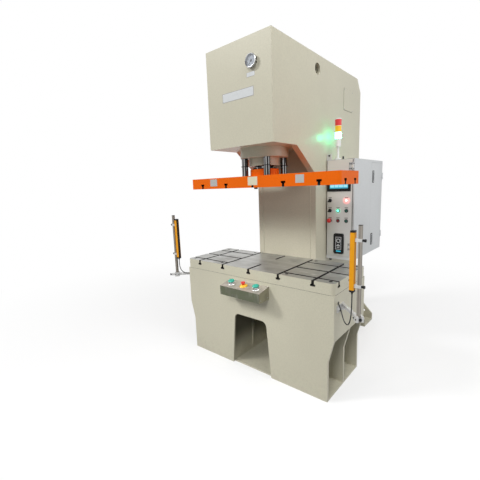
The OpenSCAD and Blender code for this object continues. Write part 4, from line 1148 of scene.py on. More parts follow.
class Fasteners:
    """Small turned and milled forms, upright on the origin, with their sizes in millimetres."""

    @staticmethod
    def socket_cap(radius: float, height: float) -> Form:
        """A cap screw's head with a sunk socket.

        Args:
            radius: its radius.
            height: its height.

        Returns:
            The head.
        """
        rim = 0.14 * radius
        profile = [(0.0, 0.0), (radius, 0.0), (radius, height - rim), (radius - rim, height), (radius * 0.56, height)]
        profile += [(radius * 0.52, height * 0.45), (0.0, height * 0.42)]
        return Meshes.lathe(profile, 18)

    @staticmethod
    def hex_head(radius: float, height: float) -> Form:
        """A hexagon bolt's head on its washer.

        Args:
            radius: the radius over its corners.
            height: its height with the washer.

        Returns:
            The head.
        """
        seat, low, high = height * 0.22, height * 0.198, height * 0.88
        washer = Meshes.lathe([(0.0, 0.0), (radius * 1.3, 0.0), (radius * 1.3, seat), (0.0, seat)], 20)
        head = [(0.0, low), (radius, low), (radius, high), (radius * 0.86, height), (0.0, height)]
        return Meshes.join([washer, Meshes.lathe(head, 6)])

    @staticmethod
    def pan_head(radius: float, height: float) -> Form:
        """A round-headed screw with a dimpled recess.

        Args:
            radius: its radius.
            height: its height.

        Returns:
            The head.
        """
        profile = [(0.0, 0.0), (radius, 0.0), (radius, height * 0.35)]
        profile += [(radius * math.cos(a), height * (0.35 + 0.65 * math.sin(a))) for a in (0.4, 0.8, 1.15)]
        profile += [(radius * 0.28, height), (radius * 0.10, height * 0.55), (0.0, height * 0.50)]
        return Meshes.lathe(profile, 14)

    @staticmethod
    def star_knob(radius: float, height: float, lobes: int = 6) -> Form:
        """A lobed hand knob.

        Args:
            radius: its radius.
            height: its height.
            lobes: the number of its lobes.

        Returns:
            The knob.
        """
        profile = [(0.0, 0.0), (radius * 0.45, 0.0), (radius * 0.5, height * 0.4), (radius, height * 0.45),
                   (radius, height * 0.88), (radius * 0.85, height), (0.0, height)]
        form = Meshes.lathe(profile, lobes * 6)
        Meshes.fluted(form, radius * 0.7 * MM, lobes, 0.08, 1)
        return form

    @staticmethod
    def ring(radius: float, thick: float) -> Form:
        """A plain round ring about the Z axis, half sunk in z = 0."""
        turns = [math.tau * n / 8 for n in range(8)] + [0.0]
        return Meshes.lathe([(radius + thick * math.cos(bend), thick * math.sin(bend)) for bend in turns], 28)


@dataclass
class Workshop:
    """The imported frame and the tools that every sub-assembly shares."""

    frame: dict[str, Any]
    paint: Paintbox = field(default_factory=Paintbox)
    repeater: PointRepeater = field(default_factory=PointRepeater)
    beads: BeadTree = field(default_factory=BeadTree)
    made: list[str] = field(default_factory=list)


@dataclass
class Assembly(ABC):
    """A sub-assembly of the press, with what it needs to make its pieces."""

    BODY: ClassVar[Body] = Body.FRAME
    MERGED: ClassVar[float] = 0.02 * MM
    FLAT: ClassVar[float] = math.radians(0.6)

    shop: Workshop

    @abstractmethod
    def build(self) -> None:
        """Dresses the sub-assembly."""

    def dress(self, finish: str, *nodes: str) -> None:
        """Gives CAD nodes a finish.

        Args:
            finish: the finish's name.
            nodes: the nodes that get it.
        """
        for node in nodes:
            mesh = self.shop.frame["nodes"][node].data
            mesh.materials.clear()
            mesh.materials.append(self.shop.paint[finish])

    def add(self, piece: Object, slot: str, *replaced: str, body: Body | None = None) -> None:
        """Puts a finished piece on its body and reports it.

        Args:
            piece: the object, at the origin.
            slot: the record's material slot; not used.
            replaced: the CAD nodes that it stands for.
            body: the body that it rides on, or None for the sub-assembly's own.
        """
        rides_on = body or self.BODY
        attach(piece, rides_on.value)
        if replaced:
            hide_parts(*replaced)
        self.shop.made.append(piece.name)
        LOG.info("%s rides on %s", piece.name, rides_on.value)

    def form(
        self, name: str, forms: Form | Sequence[Form], finish: str, slot: str | None = None,
        *replaced: str, body: Body | None = None, smooth: bool = False
    ) -> None:
        """Makes one or more forms a finished piece.

        Args:
            name: the piece's name.
            forms: the form or forms, in place.
            finish: the finish's name.
            slot: the record's material slot, or None if it has the finish's name.
            replaced: the CAD nodes that it stands for.
            body: the body that it rides on, or None for the sub-assembly's own.
            smooth: True shades it smooth, with its hard edges kept.
        """
        whole = forms if isinstance(forms, Form) else Meshes.join(forms)
        piece = Meshes.from_form(name, whole, self.shop.paint[finish], smooth)
        self.add(piece, slot or finish, *replaced, body=body)

    def repeat(
        self, name: str, form: Form, spots: Sequence[Spot], finish: str, slot: str | None = None,
        *replaced: str, body: Body | None = None
    ) -> None:
        """Repeats a small form on many spots as one piece.

        Args:
            name: the piece's name.
            form: the form, upright on the origin.
            spots: pairs of a place and a facing.
            finish: the finish's name.
            slot: the record's material slot, or None if it has the finish's name.
            replaced: the CAD nodes that it stands for.
            body: the body that it rides on, or None for the sub-assembly's own.
        """
        piece = self.shop.repeater.place(name, form, spots, self.shop.paint[finish])
        self.add(piece, slot or finish, *replaced, body=body)

    def refined(self, node: str, width: float, corner: float, top: str, sides: str, slots: str) -> None:
        """Replaces a slotted plate by a copy with broken edges, and gives its faces their finishes.

        Args:
            node: the CAD node.
            width: the width of the broken edges.
            corner: the radius of the plate's upright corners.
            top: the finish of its top.
            sides: the finish of its outer sides.
            slots: the finish of the inside of its slots, which is near-black painted shade.
        """
        low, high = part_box(node)
        form = bmesh.new()
        form.from_mesh(self.shop.frame["nodes"][node].data)
        bmesh.ops.remove_doubles(form, verts=form.verts[:], dist=self.MERGED)
        bmesh.ops.dissolve_limit(form, angle_limit=self.FLAT, verts=form.verts[:], edges=form.edges[:])
        piece = Meshes.from_form(node + "_dressed", form, self.shop.paint[top])
        for finish in (sides, slots):
            piece.data.materials.append(self.shop.paint[finish])
        Meshes.bevelled(piece, width, 35.0)
        for face in piece.data.polygons:
            place = face.center
            over_x = max(low.x + corner - place.x, place.x - high.x + corner, 0.0)
            over_y = max(low.y + corner - place.y, place.y - high.y + corner, 0.0)
            outer = math.hypot(over_x, over_y) > corner - 1.4 * width
            if place.z > high.z - 2 * width and face.normal.z > 0.9:
                face.material_index = 0
            elif outer or place.z < low.z + 0.5 * width:
                face.material_index = 1
            else:
                face.material_index = 2
        self.add(piece, top, node)


@dataclass
class Viewpoint:
    """The camera at the photograph's place, from a fitted position and direction."""

    place: Point = (1.505, -2.079, 1.4855)
    yaw: float = 40.75
    pitch: float = -9.70
    roll: float = -2.23
    lens: float = 23.60
    sensor: float = 36.0
    reach: float = 60.0

    def build(self) -> None:
        """Makes the camera."""
        camera = bpy.data.cameras.new("viewpoint")
        camera.lens = self.lens
        camera.sensor_width = self.sensor
        camera.clip_end = self.reach
        at = Matrix.Translation(self.place)
        for angle, axis in ((self.yaw, "Z"), (90.0 + self.pitch, "X"), (self.roll, "Z")):
            at = at @ Matrix.Rotation(math.radians(angle), 4, axis)
        bpy.context.scene.camera = placed("viewpoint", camera, at)


@dataclass(frozen=True)
class Lamp:
    """A soft square area lamp that looks at a target, with its power in watts and its beam in degrees."""

    name: str
    place: Point
    target: Point
    size: float
    power: float
    spread: float = 180.0

    def build(self) -> None:
        """Adds the lamp."""
        light = bpy.data.lights.new(self.name, "AREA")
        light.size = self.size
        light.energy = self.power
        light.spread = math.radians(self.spread)
        way = Vector(self.target) - Vector(self.place)
        turn = way.to_track_quat("-Z", "Y").to_matrix().to_4x4()
        placed(self.name, light, Matrix.Translation(self.place) @ turn)


@dataclass
class Studio:
    """White floor and plain soft light."""

    LAMPS: ClassVar[tuple[Lamp, ...]] = (
        Lamp("key", (-7.0, -8.0, 9.0), (0.0, 0.0, 1.2), 2.2, 860.0),
        Lamp("second", (2.6, -8.8, 7.6), (0.0, 0.0, 1.2), 2.2, 365.0),
        Lamp("low", (-1.6, -4.6, 3.2), (0.0, -0.25, 0.25), 1.2, 1.0, 20.0),
        Lamp("fill", (2.8, -0.5, 4.8), (0.3, 0.2, 1.0), 2.5, 100.0),
        Lamp("side", (5.5, 1.5, 2.2), (0.4, 0.6, 1.2), 3.0, 50.0),
        Lamp("rear", (-1.5, 6.5, 4.0), (0.0, 0.6, 1.2), 4.0, 110.0),
    )

    floor_reach: float = 40.0
    floor_glow: float = 0.55
    shadow: tuple[float, float] = (1.6, 4.5)
    soft: float = 0.22

    def build(self) -> None:
        """Makes the floor, the lamps and the world."""
        bpy.context.scene.view_settings.view_transform = "Standard"
        self._floor()
        self._world()
        for lamp in self.LAMPS:
            lamp.build()

    def _floor(self) -> None:
        """Adds the floor, which looks white and keeps the shadow."""
        graph = Graph("studio_floor")
        rays = graph.node("ShaderNodeLightPath").outputs
        white = graph.node("ShaderNodeEmission", {}, {"Color": WHITE, "Strength": 1.0})
        seen = Value(graph, rays["Is Camera Ray"])
        graph.finish(graph.blend(seen, (0.35, 0.35, 0.35), (0.95, 0.95, 0.95)), 0.9)
        mirrored = Value(graph, rays["Is Glossy Ray"]) + Value(graph, rays["Is Transmission Ray"])
        away = graph.node("ShaderNodeVectorMath", {"operation": "LENGTH"}, {0: graph.place()})
        far = Value(graph, away.outputs["Value"]).ramp(*self.shadow)
        share = (seen + mirrored) * (self.floor_glow + far * (1.0 - self.floor_glow))
        mix = graph.node("ShaderNodeMixShader", {}, {0: share, 1: graph.shader.outputs[0], 2: white.outputs[0]})
        graph.feed(graph.output.inputs["Surface"], mix.outputs[0])
        form = bmesh.new()
        corners = ((-1, -1), (1, -1), (1, 1), (-1, 1))
        form.faces.new([form.verts.new((x * self.floor_reach, y * self.floor_reach, 0.0)) for x, y in corners])
        floor = Meshes.from_form("floor", form, graph.material)
        if floor.data.polygons[0].normal.z < 0:
            floor.data.flip_normals()

    def _world(self) -> None:
        """Makes the world white to the camera, in gloss and through glass, and softer as light."""
        world = bpy.data.worlds.new("studio")
        world.use_nodes = True
        bpy.context.scene.world = world
        tree = Tree(world.node_tree)
        rays = tree.node("ShaderNodeLightPath").outputs
        shown = rays["Is Camera Ray"]
        for ray in ("Is Glossy Ray", "Is Transmission Ray"):
            shown = tree.node("ShaderNodeMath", {"operation": "MAXIMUM"}, {0: shown, 1: rays[ray]}).outputs[0]
        soft, white = (tree.node("ShaderNodeBackground", {}, {"Color": WHITE, "Strength": strength})
                       for strength in (self.soft, 1.0))
        mix = tree.node("ShaderNodeMixShader", {}, {0: shown, 1: soft.outputs[0], 2: white.outputs[0]})
        tree.node("ShaderNodeOutputWorld", {}, {"Surface": mix.outputs[0]})


@dataclass
class CurtainCables(Assembly):
    """The two cables that hang from the light curtains into the bed."""

    diameter: float = 0.007
    left: tuple[Point, ...] = (
        (-0.808, -0.276, 0.827), (-0.808, -0.276, 0.790), (-0.805, -0.273, 0.755),
        (-0.795, -0.265, 0.726), (-0.777, -0.250, 0.706), (-0.753, -0.230, 0.698),
        (-0.727, -0.208, 0.700), (-0.702, -0.187, 0.707),
    )
    right: tuple[Point, ...] = (
        (0.835, -0.303, 0.827), (0.835, -0.303, 0.780), (0.833, -0.301, 0.730),
        (0.828, -0.297, 0.680), (0.818, -0.289, 0.640), (0.803, -0.276, 0.617),
        (0.783, -0.258, 0.611), (0.763, -0.241, 0.622), (0.745, -0.225, 0.648),
        (0.727, -0.209, 0.680), (0.702, -0.187, 0.707),
    )
    grommet: float = 0.7022

    def build(self) -> None:
        """Makes both cables and the grommets where they go into the bed."""
        self._cable("cable_left", self.left)
        self._cable("cable_right", self.right)
        _, y, z = self.right[-1]
        spots = [((side * self.grommet, y, z), (side, 0.0, 0.0)) for side in Side]
        self.repeat("bed_grommets", Fasteners.ring(7.2, 2.4), spots, "black_plastic")

    def _cable(self, name: str, route: Sequence[Point]) -> None:
        """Makes one cable as a smooth tube along its route.

        Args:
            name: the CAD node's name.
            route: the points that it follows.
        """
        line = self._smooth([Vector(point) for point in route], 3)
        length = sum((b - a).length for a, b in zip(line, line[1:]))
        curve = bpy.data.curves.new(name + "_line", "CURVE")
        curve.dimensions = "3D"
        curve.bevel_depth = self.diameter / 2
        curve.bevel_resolution = 3
        curve.use_fill_caps = True
        spline = curve.splines.new("POLY")
        spline.points.add(len(line) - 1)
        for point, place in zip(spline.points, line):
            point.co = (*place, 1.0)
        spline.use_smooth = True
        curve.materials.append(self.shop.paint["cable_sheath"])
        piece = placed(name + "_sheath", curve)
        self.add(piece, "cable_rubber", name)

    def _smooth(self, points: list[Vector], steps: int) -> list[Vector]:
        """Points of a Catmull-Rom curve.

        Args:
            points: the points that the curve passes through.
            steps: how many pieces each span gets.

        Returns:
            The points along the curve.
        """
        ends = [2 * points[0] - points[1], *points, 2 * points[-1] - points[-2]]
        line = []
        for a, b, c, d in zip(ends, ends[1:], ends[2:], ends[3:]):
            for k in range(steps):
                t = k / steps
                bent = (2 * a - 5 * b + 4 * c - d) * t * t + (3 * b - a - 3 * c + d) * t ** 3
                line.append(0.5 * (2 * b + (c - a) * t + bent))
        line.append(points[-1])
        return line


@dataclass
class PressFrame(Assembly):
    """Bed, column and head: the welded plates, their seams, screws and plates."""

    bed_half: float = 0.702
    bed_front: float = -0.250
    bed_back: float = 0.298
    table_low: float = 0.770
    table_corner: float = 0.026
    head_face: float = -0.299
    name_plate: Rectangle = (-0.1425, 2.0815, 0.1425, 2.1425)
    gauge_tag: Rectangle = (0.087, 2.204, 0.155, 2.232)
    rivet_inset: float = 7.5 * MM
    panel_inset: float = 0.012
    cover_rows: int = 8
    cover_margin: float = 0.04
    column_half: float = 0.292
    web_half: float = 0.242
    foot_plate: float = 0.016
    web_weld: Point = (0.856, 1.200, 1.550)
    side_weld: Point = (0.012, 0.400, 0.769)

    def build(self) -> None:
        """Dresses the frame."""
        self.dress(
            "cream_paint", "base_plate", "bed_front_plate", "bed_ribs", "bed_side_walls",
            "column_side_left", "column_side_right", "column_web", "head_front_plate",
            "head_bottom_plate", "head_top_plate", "rear_cover", "rear_feet", "cylinder_barrel",
        )
        self.dress("turned_steel", "cylinder_cap", "oil_pipes", "motor_shaft")
        self.dress("bronze", "guide_bushes")
        self.dress("tank_paint", "oil_tank")
        self.dress("motor_paint", "pump_motor")
        self.dress("pump_casting", "oil_pump", "valve_block")
        self.dress("black_steel", "table_bolts")
        self.refined("work_table", 1.8 * MM, self.table_corner, "ground_steel", "cream_paint", "slot_shade_steel")
        self._joint_line()
        self._access_panel()
        self._plates()
        self._screws()
        self._welds()

    def _joint_line(self) -> None:
        """Adds a thin dark bead of painted shadow along the joint under the table's edge."""
        out = 0.1 * MM
        reach, round_off = self.bed_half - self.table_corner, self.table_corner + out
        back = self.bed_back - 1 * MM
        run: list[Point] = [(-self.bed_half - out, back, self.table_low)]
        for side in Side:
            for k in range(10):
                angle = math.radians(10 * k if side is Side.LEFT else 90 - 10 * k)
                x = side * reach + side * round_off * math.cos(angle)
                y = self.bed_front + self.table_corner - round_off * math.sin(angle)
                run.append((x, y, self.table_low))
        run.append((self.bed_half + out, back, self.table_low))
        # Painted shadow: a dark bead along the joint.
        piece = self.shop.beads.lay("table_joint", [run], self.shop.paint["joint_shadow"], 0.9 * MM, 0.0, 0.004)
        self.add(piece, "cream_paint")

    def _access_panel(self) -> None:
        """Adds the access panel with its rounded corners, over a dark plate of painted shadow that shows as the gap
        round it.
        """
        low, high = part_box("access_panel")
        proud = Vector((0.0, 1.3 * MM, 1.3 * MM))
        # Painted shadow: a dark plate behind the panel shows as the gap round it.
        gap = self._rounded_plate(low.x - 0.4 * MM, low.x + 0.7 * MM, low - proud, high + proud, 12.3 * MM)
        self.form("panel_gap", gap, "joint_shadow", "cream_paint")
        panel = self._rounded_plate(low.x, high.x, low, high, 11 * MM)
        piece = Meshes.from_form("access_panel_sheet", panel, self.shop.paint["cream_paint"])
        Meshes.bevelled(piece, 0.9 * MM, 40.0)
        self.add(piece, "cream_paint", "access_panel")

    def _rounded_plate(self, inner: float, outer: float, low: Vector, high: Vector, radius: float) -> Form:
        """A plate across X with rounded corners.

        Args:
            inner: the X of its inner face.
            outer: the X of its outer face.
            low: its lowest Y and Z.
            high: its highest Y and Z.
            radius: the corners' radius.

        Returns:
            The plate.
        """
        outline = []
        for turn, (right, top) in enumerate(((True, True), (False, True), (False, False), (True, False))):
            y = high.y - radius if right else low.y + radius
            z = high.z - radius if top else low.z + radius
            for k in range(6):
                angle = math.radians(90 * turn + 18 * k)
                outline.append(Vector((inner, y + radius * math.cos(angle), z + radius * math.sin(angle))))
        return Meshes.prism(outline, Vector((outer - inner, 0.0, 0.0)))

    def _plates(self) -> None:
        """Adds the bare name plate and the bare tag on the head, with raised rims and rivets."""
        y = self.head_face
        sheets, rims = [], []
        for (x0, z0, x1, z1), rim in ((self.name_plate, 3 * MM), (self.gauge_tag, 1 * MM)):
            sheets.append(Meshes.slab((x0, y - 0.8 * MM, z0), (x1, y + 0.2 * MM, z1), 0.2))
            for a, b, c, d in ((x0, z0, x1, z0 + rim), (x0, z1 - rim, x1, z1),
                               (x0, z0 + rim, x0 + rim, z1 - rim), (x1 - rim, z0 + rim, x1, z1 - rim)):
                rims.append(Meshes.slab((a, y - 1.1 * MM, b), (c, y - 0.6 * MM, d), 0.1))
        self.form("head_plates", sheets, "pale_plate", "tag_plate", "head_tags")
        self.form("plate_rims", rims, "dim_tag", "tag_plate")
        x0, z0, x1, z1 = self.name_plate
        inset = self.rivet_inset
        spots = [((x, y - 0.8 * MM, z), OUT_FRONT) for x in (x0 + inset, x1 - inset) for z in (z0 + inset, z1 - inset)]
        self.repeat("plate_rivets", Fasteners.pan_head(2.2, 1.4), spots, "bright_ring", "bright_steel")

    def _screws(self) -> None:
        """Adds the screws of the access panel and the rear cover."""
        low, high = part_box("access_panel")
        inset = self.panel_inset
        across, up = (low.y + inset, high.y - inset), (low.z + inset, high.z - inset)
        spots = [((high.x, y, z), OUT_RIGHT) for y in across for z in up]
        self.repeat("panel_screws", Fasteners.pan_head(4.6, 2.8), spots, "turned_steel", "bright_steel")
        low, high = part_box("rear_cover")
        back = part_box("column_side_left")[1].y
        first, rise = low.z + self.cover_margin, high.z - low.z - 2 * self.cover_margin
        heights = [first + rise * k / (self.cover_rows - 1) for k in range(self.cover_rows)]
        spots = [((side * (high.x - self.panel_inset), back, z), OUT_BACK) for z in heights for side in Side]
        self.repeat("cover_screws", Fasteners.hex_head(6.0, 5.0), spots, "turned_steel", "bright_steel")

    def _welds(self) -> None:
        """Lays the weld beads that can be seen."""
        low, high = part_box("rear_feet")
        plate, column = self.foot_plate, self.column_half
        front, back = low.y + plate, high.y - plate
        runs: list[list[Point]] = []
        for side in Side:
            wall, toe = side * (column + plate), side * high.x
            runs.append([(toe, front, plate), (wall, front, plate), (wall, back, plate), (toe, back, plate)])
            runs += [[(wall, y, plate), (wall, y, high.z - 4 * MM)] for y in (front, back)]
            runs.append([(side * self.web_half, self.bed_back, z) for z in self.web_weld])
            runs.append([(side * (column + 1 * MM), self.bed_back + 1 * MM, z) for z in self.side_weld])
        self.add(self.shop.beads.lay("weld_beads", runs, self.shop.paint["cream_paint"], 3 * MM), "cream_paint")


@dataclass
class Ram(Assembly):
    """Piston rod, guide rods and the slotted platen; the rods' radii are in millimetres."""

    BODY: ClassVar[Body] = Body.RAM

    platen_corner: float = 0.024
    hub_low: float = 1.635
    rod_radius: float = 65.0
    guide_radius: float = 25.0
    guide_at: tuple[float, float] = (0.105, 0.115)
    tag_middle: float = 1.521
    tags: tuple[tuple[float, float, float, str], ...] = (
        (-0.414, 0.080, 0.058, "grey_tag"), (0.002, 0.092, 0.064, "ivory_tag"), (0.408, 0.066, 0.056, "grey_tag"),
    )

    def build(self) -> None:
        """Dresses the ram."""
        self.dress("chromed_rod", "piston_rod", "guide_rods")
        self.dress("orange_paint", "rod_flange")
        self.dress("black_steel", "ram_screws")
        self.refined("platen", 1.2 * MM, self.platen_corner, "orange_paint", "orange_paint", "slot_shade_black")
        self._tags()
        self._wipers()

    def _tags(self) -> None:
        """Adds the bare tags on the platen's front."""
        y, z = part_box("platen")[0].y, self.tag_middle
        for number, (x, wide, tall, finish) in enumerate(self.tags):
            low, high = (x - wide / 2, y - 0.9 * MM, z - tall / 2), (x + wide / 2, y + 0.2 * MM, z + tall / 2)
            replaced = ("platen_tags",) if number == 0 else ()
            self.form(f"platen_tag_{number + 1}", Meshes.slab(low, high, 0.3), finish, "tag_plate", *replaced)

    def _wipers(self) -> None:
        """Adds the wiper rings where the rods leave the cylinder and the bushes."""
        across, along = self.guide_at
        rings = [self._wiper(self.rod_radius + 0.4, 11.0, 6.0, 0.0, 0.0)]
        rings += [self._wiper(self.guide_radius + 0.3, 6.5, 4.0, x, y)
                  for x in (-across, across) for y in (-along, along)]
        self.form("rod_wipers", rings, "black_plastic", body=Body.FRAME, smooth=True)

    def _wiper(self, inner: float, wide: float, tall: float, x: float, y: float) -> Form:
        """One wiper ring that hangs under the hub.

        Args:
            inner: its inner radius, in millimetres.
            wide: the width of its wall, in millimetres.
            tall: how far it hangs down, in millimetres.
            x: the rod's place.
            y: the rod's place.

        Returns:
            The ring.
        """
        profile = [(inner, 0.3), (inner, -tall), (inner + 0.3 * wide, -tall), (inner + wide, -tall * 0.45),
                   (inner + wide, 0.3), (inner, 0.3)]
        return Meshes.lathe(profile, 40, Matrix.Translation((x, y, self.hub_low)))


@dataclass
class PressureGauge(Assembly):
    """The pressure gauge on the head, whose dial counts in tens; all but its centre is in millimetres."""

    centre: Point = (0.138, -0.299, 2.294)
    radius: float = 44.0
    depth: float = 26.0
    zero: float = 225.0
    sweep: float = 270.0
    tens: int = 4
    fine: int = 10
    numeral: float = 6.4

    def build(self) -> None:
        """Makes the case, dial, numbers and pane."""
        at = Meshes.turn_to(OUT_FRONT, self.centre)
        r, d = self.radius, self.depth
        case = [(0.0, 0.0), (r - 5, 0.0), (r - 4, 1.0), (r - 4, d - 13), (r - 0.6, d - 11), (r, d - 9), (r, d - 3),
                (r - 1, d - 1), (r - 3, d), (r - 5.5, d - 0.4), (r - 7, d - 2), (r - 7, d - 12), (0.0, d - 12)]
        self.form("gauge_bezel", Meshes.lathe(case, 64, at), "chrome_bezel", "gauge_metal", "gauge_case", smooth=True)
        face, rim = d - 11.95, r - 7.3
        dial = [(0.0, face - 0.3), (rim, face - 0.3), (rim, face), (0.0, face)]
        self.form("gauge_dial", Meshes.lathe(dial, 48, at), "pale_dial", "tag_plate")
        glass, edge = d - 3.4, rim + 0.4
        pane = [(0.0, glass), (edge, glass), (edge, glass + 0.8), (0.0, glass + 1.1)]
        self.form("gauge_pane", Meshes.lathe(pane, 48, at), "clear_pane", "gauge_metal", smooth=True)
        self._marks(face)
        self._numbers(face)
        self.dress("black_plastic", "gauge_needle")
        hub = [(0.0, 19.2), (3.0, 19.2), (3.0, 19.8), (2.2, 20.4), (0.0, 20.6)]
        self.form("needle_hub", Meshes.lathe(hub, 20, at), "black_steel", body=Body.NEEDLE, smooth=True)

    def _around(self, share: float, reach: float, out: float) -> Matrix:
        """The matrix that moves to a point over the dial.

        Args:
            share: 0 at the first mark and 1 at the last.
            reach: the distance from the centre, in millimetres.
            out: the height over the head plate, in millimetres.

        Returns:
            The matrix.
        """
        angle = math.radians(self.zero - self.sweep * share)
        x, y, z = self.centre
        return Matrix.Translation((x + reach * MM * math.cos(angle), y - out * MM, z + reach * MM * math.sin(angle)))

    def _marks(self, face: float) -> None:
        """Adds the dial's marks.

        Args:
            face: the dial's height over the head plate, in millimetres.
        """
        edge = self.radius - 9.0
        count = self.tens * self.fine
        marks = []
        for k in range(count + 1):
            half, wide = (2.2, 0.5) if k % self.fine == 0 else (1.2, 0.25)
            mark = Meshes.block((0.0, 0.0, 0.0), (-half, -0.1, -wide), (half, 0.05, wide))
            turn = Matrix.Rotation(-math.radians(self.zero - self.sweep * k / count), 4, "Y")
            bmesh.ops.transform(mark, matrix=self._around(k / count, edge - half, face) @ turn, verts=mark.verts)
            marks.append(mark)
        self.form("gauge_marks", marks, "black_plastic")

    def _numbers(self, face: float) -> None:
        """Adds the tens as meshed numerals.

        Args:
            face: the dial's height over the head plate, in millimetres.
        """
        upright = Matrix.Rotation(math.radians(90.0), 4, "X")
        forms = []
        for k in range(self.tens + 1):
            words = bpy.data.curves.new("numeral", "FONT")
            words.body = str(10 * k)
            words.size = self.numeral * MM
            words.align_x = "CENTER"
            words.align_y = "CENTER"
            holder = placed("numeral", words)
            bpy.context.view_layer.update()
            mesh = bpy.data.meshes.new_from_object(holder.evaluated_get(bpy.context.evaluated_depsgraph_get()))
            mesh.transform(self._around(k / self.tens, self.radius - 17.5, face + 0.08) @ upright)
            form = bmesh.new()
            form.from_mesh(mesh)
            forms.append(form)
            bpy.data.objects.remove(holder)
        mesh = bpy.data.meshes.new("gauge_numerals")
        whole = Meshes.join(forms)
        whole.to_mesh(mesh)
        whole.free()
        self.add(Meshes.wrap("gauge_numerals", mesh, self.shop.paint["black_plastic"]), "black_plastic")


@dataclass
class ControlCabinet(Assembly):
    """The control cabinet, its doors and what is on them."""

    BODY: ClassVar[Body] = Body.DOOR

    front: float = 0.492
    side: float = 0.535
    columns: tuple[float, float, float] = (0.328, 0.400, 0.472)
    rows: tuple[float, float, float] = (1.335, 1.249, 1.163)
    screen: Rectangle = (0.3262, 1.4342, 0.4838, 1.5358)
    screen_face: float = 0.488
    socket: Point = (0.410, 0.483, 0.878)
    hinges: tuple[float, float] = (0.915, 1.5805)
    hinge: tuple[float, float] = (0.5035, 0.4868)
    hinge_fixed: float = 26.7 * MM
    latches: tuple[float, float] = (0.900, 1.475)
    latch_middle: float = 0.941
    gap_shadows: tuple[Rectangle, ...] = ((0.5185, 0.8565, 0.5226, 1.6660), (0.2994, 0.8565, 0.3012, 1.6660))

    def build(self) -> None:
        """Dresses the cabinet."""
        self.dress("cabinet_paint", "cabinet_box", "side_door")
        self.dress("cabinet_front", "cabinet_door")
        self.dress("grey_relay", "control_gear")
        self.dress("cabinet_fittings", "cabinet_glands")
        self.dress("black_plastic", "socket_frame", "operator_panel", "mode_selector", "pump_selector")
        self.dress("lit_green", "start_button")
        self.dress("dark_red_knob", "stop_button")
        self.dress("dark_green_knob", "up_button", "down_button")
        self.dress("red_knob", "cabinet_estop")
        self._controls()
        self._screen()
        self._socket_window()
        self._hinge_blocks()
        self._latches()
        self._gap_shadows()

    def _controls(self) -> None:
        """Adds the ring and the bare tag of each control, and the red lamp."""
        y = self.front
        places = [(x, y, z) for i, x in enumerate(self.columns) for j, z in enumerate(self.rows) if (i, j) != (1, 0)]
        ring = Meshes.lathe([(10.6, 0.0), (16.0, 0.0), (16.0, 2.2), (14.8, 3.8), (11.8, 4.8), (10.6, 4.4),
                             (10.6, 0.0)], 30)
        lamp_place = (self.columns[2], y, self.rows[0])
        at = Meshes.turn_to(OUT_FRONT, lamp_place)
        rim = ring.copy()
        bmesh.ops.transform(rim, matrix=at, verts=rim.verts)
        spots = [(place, OUT_FRONT) for place in places if place != lamp_place]
        self.repeat("control_bezels", ring, spots, "dark_ring", "bright_steel", "control_rings")
        # The power lamp's rim glows with painted light from the lamp.
        self.form("power_lamp_rim", rim, "lamp_rim", "red_plastic", smooth=True)
        tags = [Meshes.block(place, (-15, -0.8, 20.5), (15, 0.2, 29), 0.25) for place in places]
        self.form("control_tags", tags, "dim_tag", "tag_plate")
        lamp = Meshes.lathe([(0.0, 1.0), (10.0, 1.0), (10.0, 8.0), (8.5, 10.8), (5.5, 12.4), (2.5, 13.0),
                             (0.0, 13.1)], 32, at)
        self.form("power_lamp", lamp, "lit_red", "red_plastic", smooth=True)

    def _screen(self) -> None:
        """Adds the operator screen with plain tiles and a plain bar."""
        x0, z0, x1, z1 = self.screen
        y = self.screen_face
        glass = Meshes.slab((x0, y - 0.2 * MM, z0), (x1, y + 0.6 * MM, z1))
        self.form("screen_glass", glass, "screen_cyan", "black_plastic")
        bars = [Meshes.slab((x0 + 3 * MM, y - 0.4 * MM, a), (x1 - 3 * MM, y, b))
                for a, b in ((z1 - 14 * MM, z1 - 4 * MM), (z0 + 3 * MM, z0 + 6 * MM))]
        self.form("screen_bars", bars, "screen_blue", "black_plastic")
        columns, rows, gap, tall = 4, 3, 5 * MM, 20 * MM
        wide = (x1 - x0 - (columns + 1) * gap) / columns
        tiles = []
        for column in range(columns):
            for row in range(rows):
                x = x0 + gap + column * (wide + gap)
                z = z0 + 10 * MM + row * (tall + gap)
                tiles.append(Meshes.slab((x, y - 0.5 * MM, z), (x + wide, y, z + tall), 0.1))
        self.form("screen_tiles", tiles, "screen_pale", "black_plastic")

    def _socket_window(self) -> None:
        """Adds the socket and the ports behind the frame's window, with the lit bar below them."""
        at = self.socket
        plate = Meshes.block(at, (-26.5, -0.6, 36.5), (26.5, 0.4, 147.5), 0.3)
        self.form("socket_plate", plate, "socket_plate", "gear_plastic")
        dark = Meshes.block(at, (-20, -0.9, 43), (20, 0, 141), 0.3)
        round_at = Meshes.turn_to(OUT_FRONT, (at[0], at[1] - 0.8 * MM, at[2] + 114 * MM))
        well = Meshes.lathe([(0.0, 0.0), (12.0, 0.0), (12.0, 0.4), (0.0, 0.5)], 32, round_at)
        self.form("socket_field", [dark, well], "dark_pane", "black_plastic")
        rim = [(12.2, 0.0), (18.5, 0.0), (18.5, 0.8), (12.2, 1.2), (12.2, 0.0)]
        ports = [Meshes.lathe(rim, 36, round_at)]
        ports += [Meshes.block(at, (-half, -1.4, low), (half, -0.8, low + tall), 0.2)
                  for low, half, tall in ((66, 15, 9), (52, 12, 6), (78, 9, 5))]
        self.form("socket_ports", ports, "pale_plate", "gear_plastic")
        self.form("socket_bar", Meshes.block(at, (-21, 2.2, 17), (21, 3.4, 27), 0.4), "screen_cyan", "black_plastic")

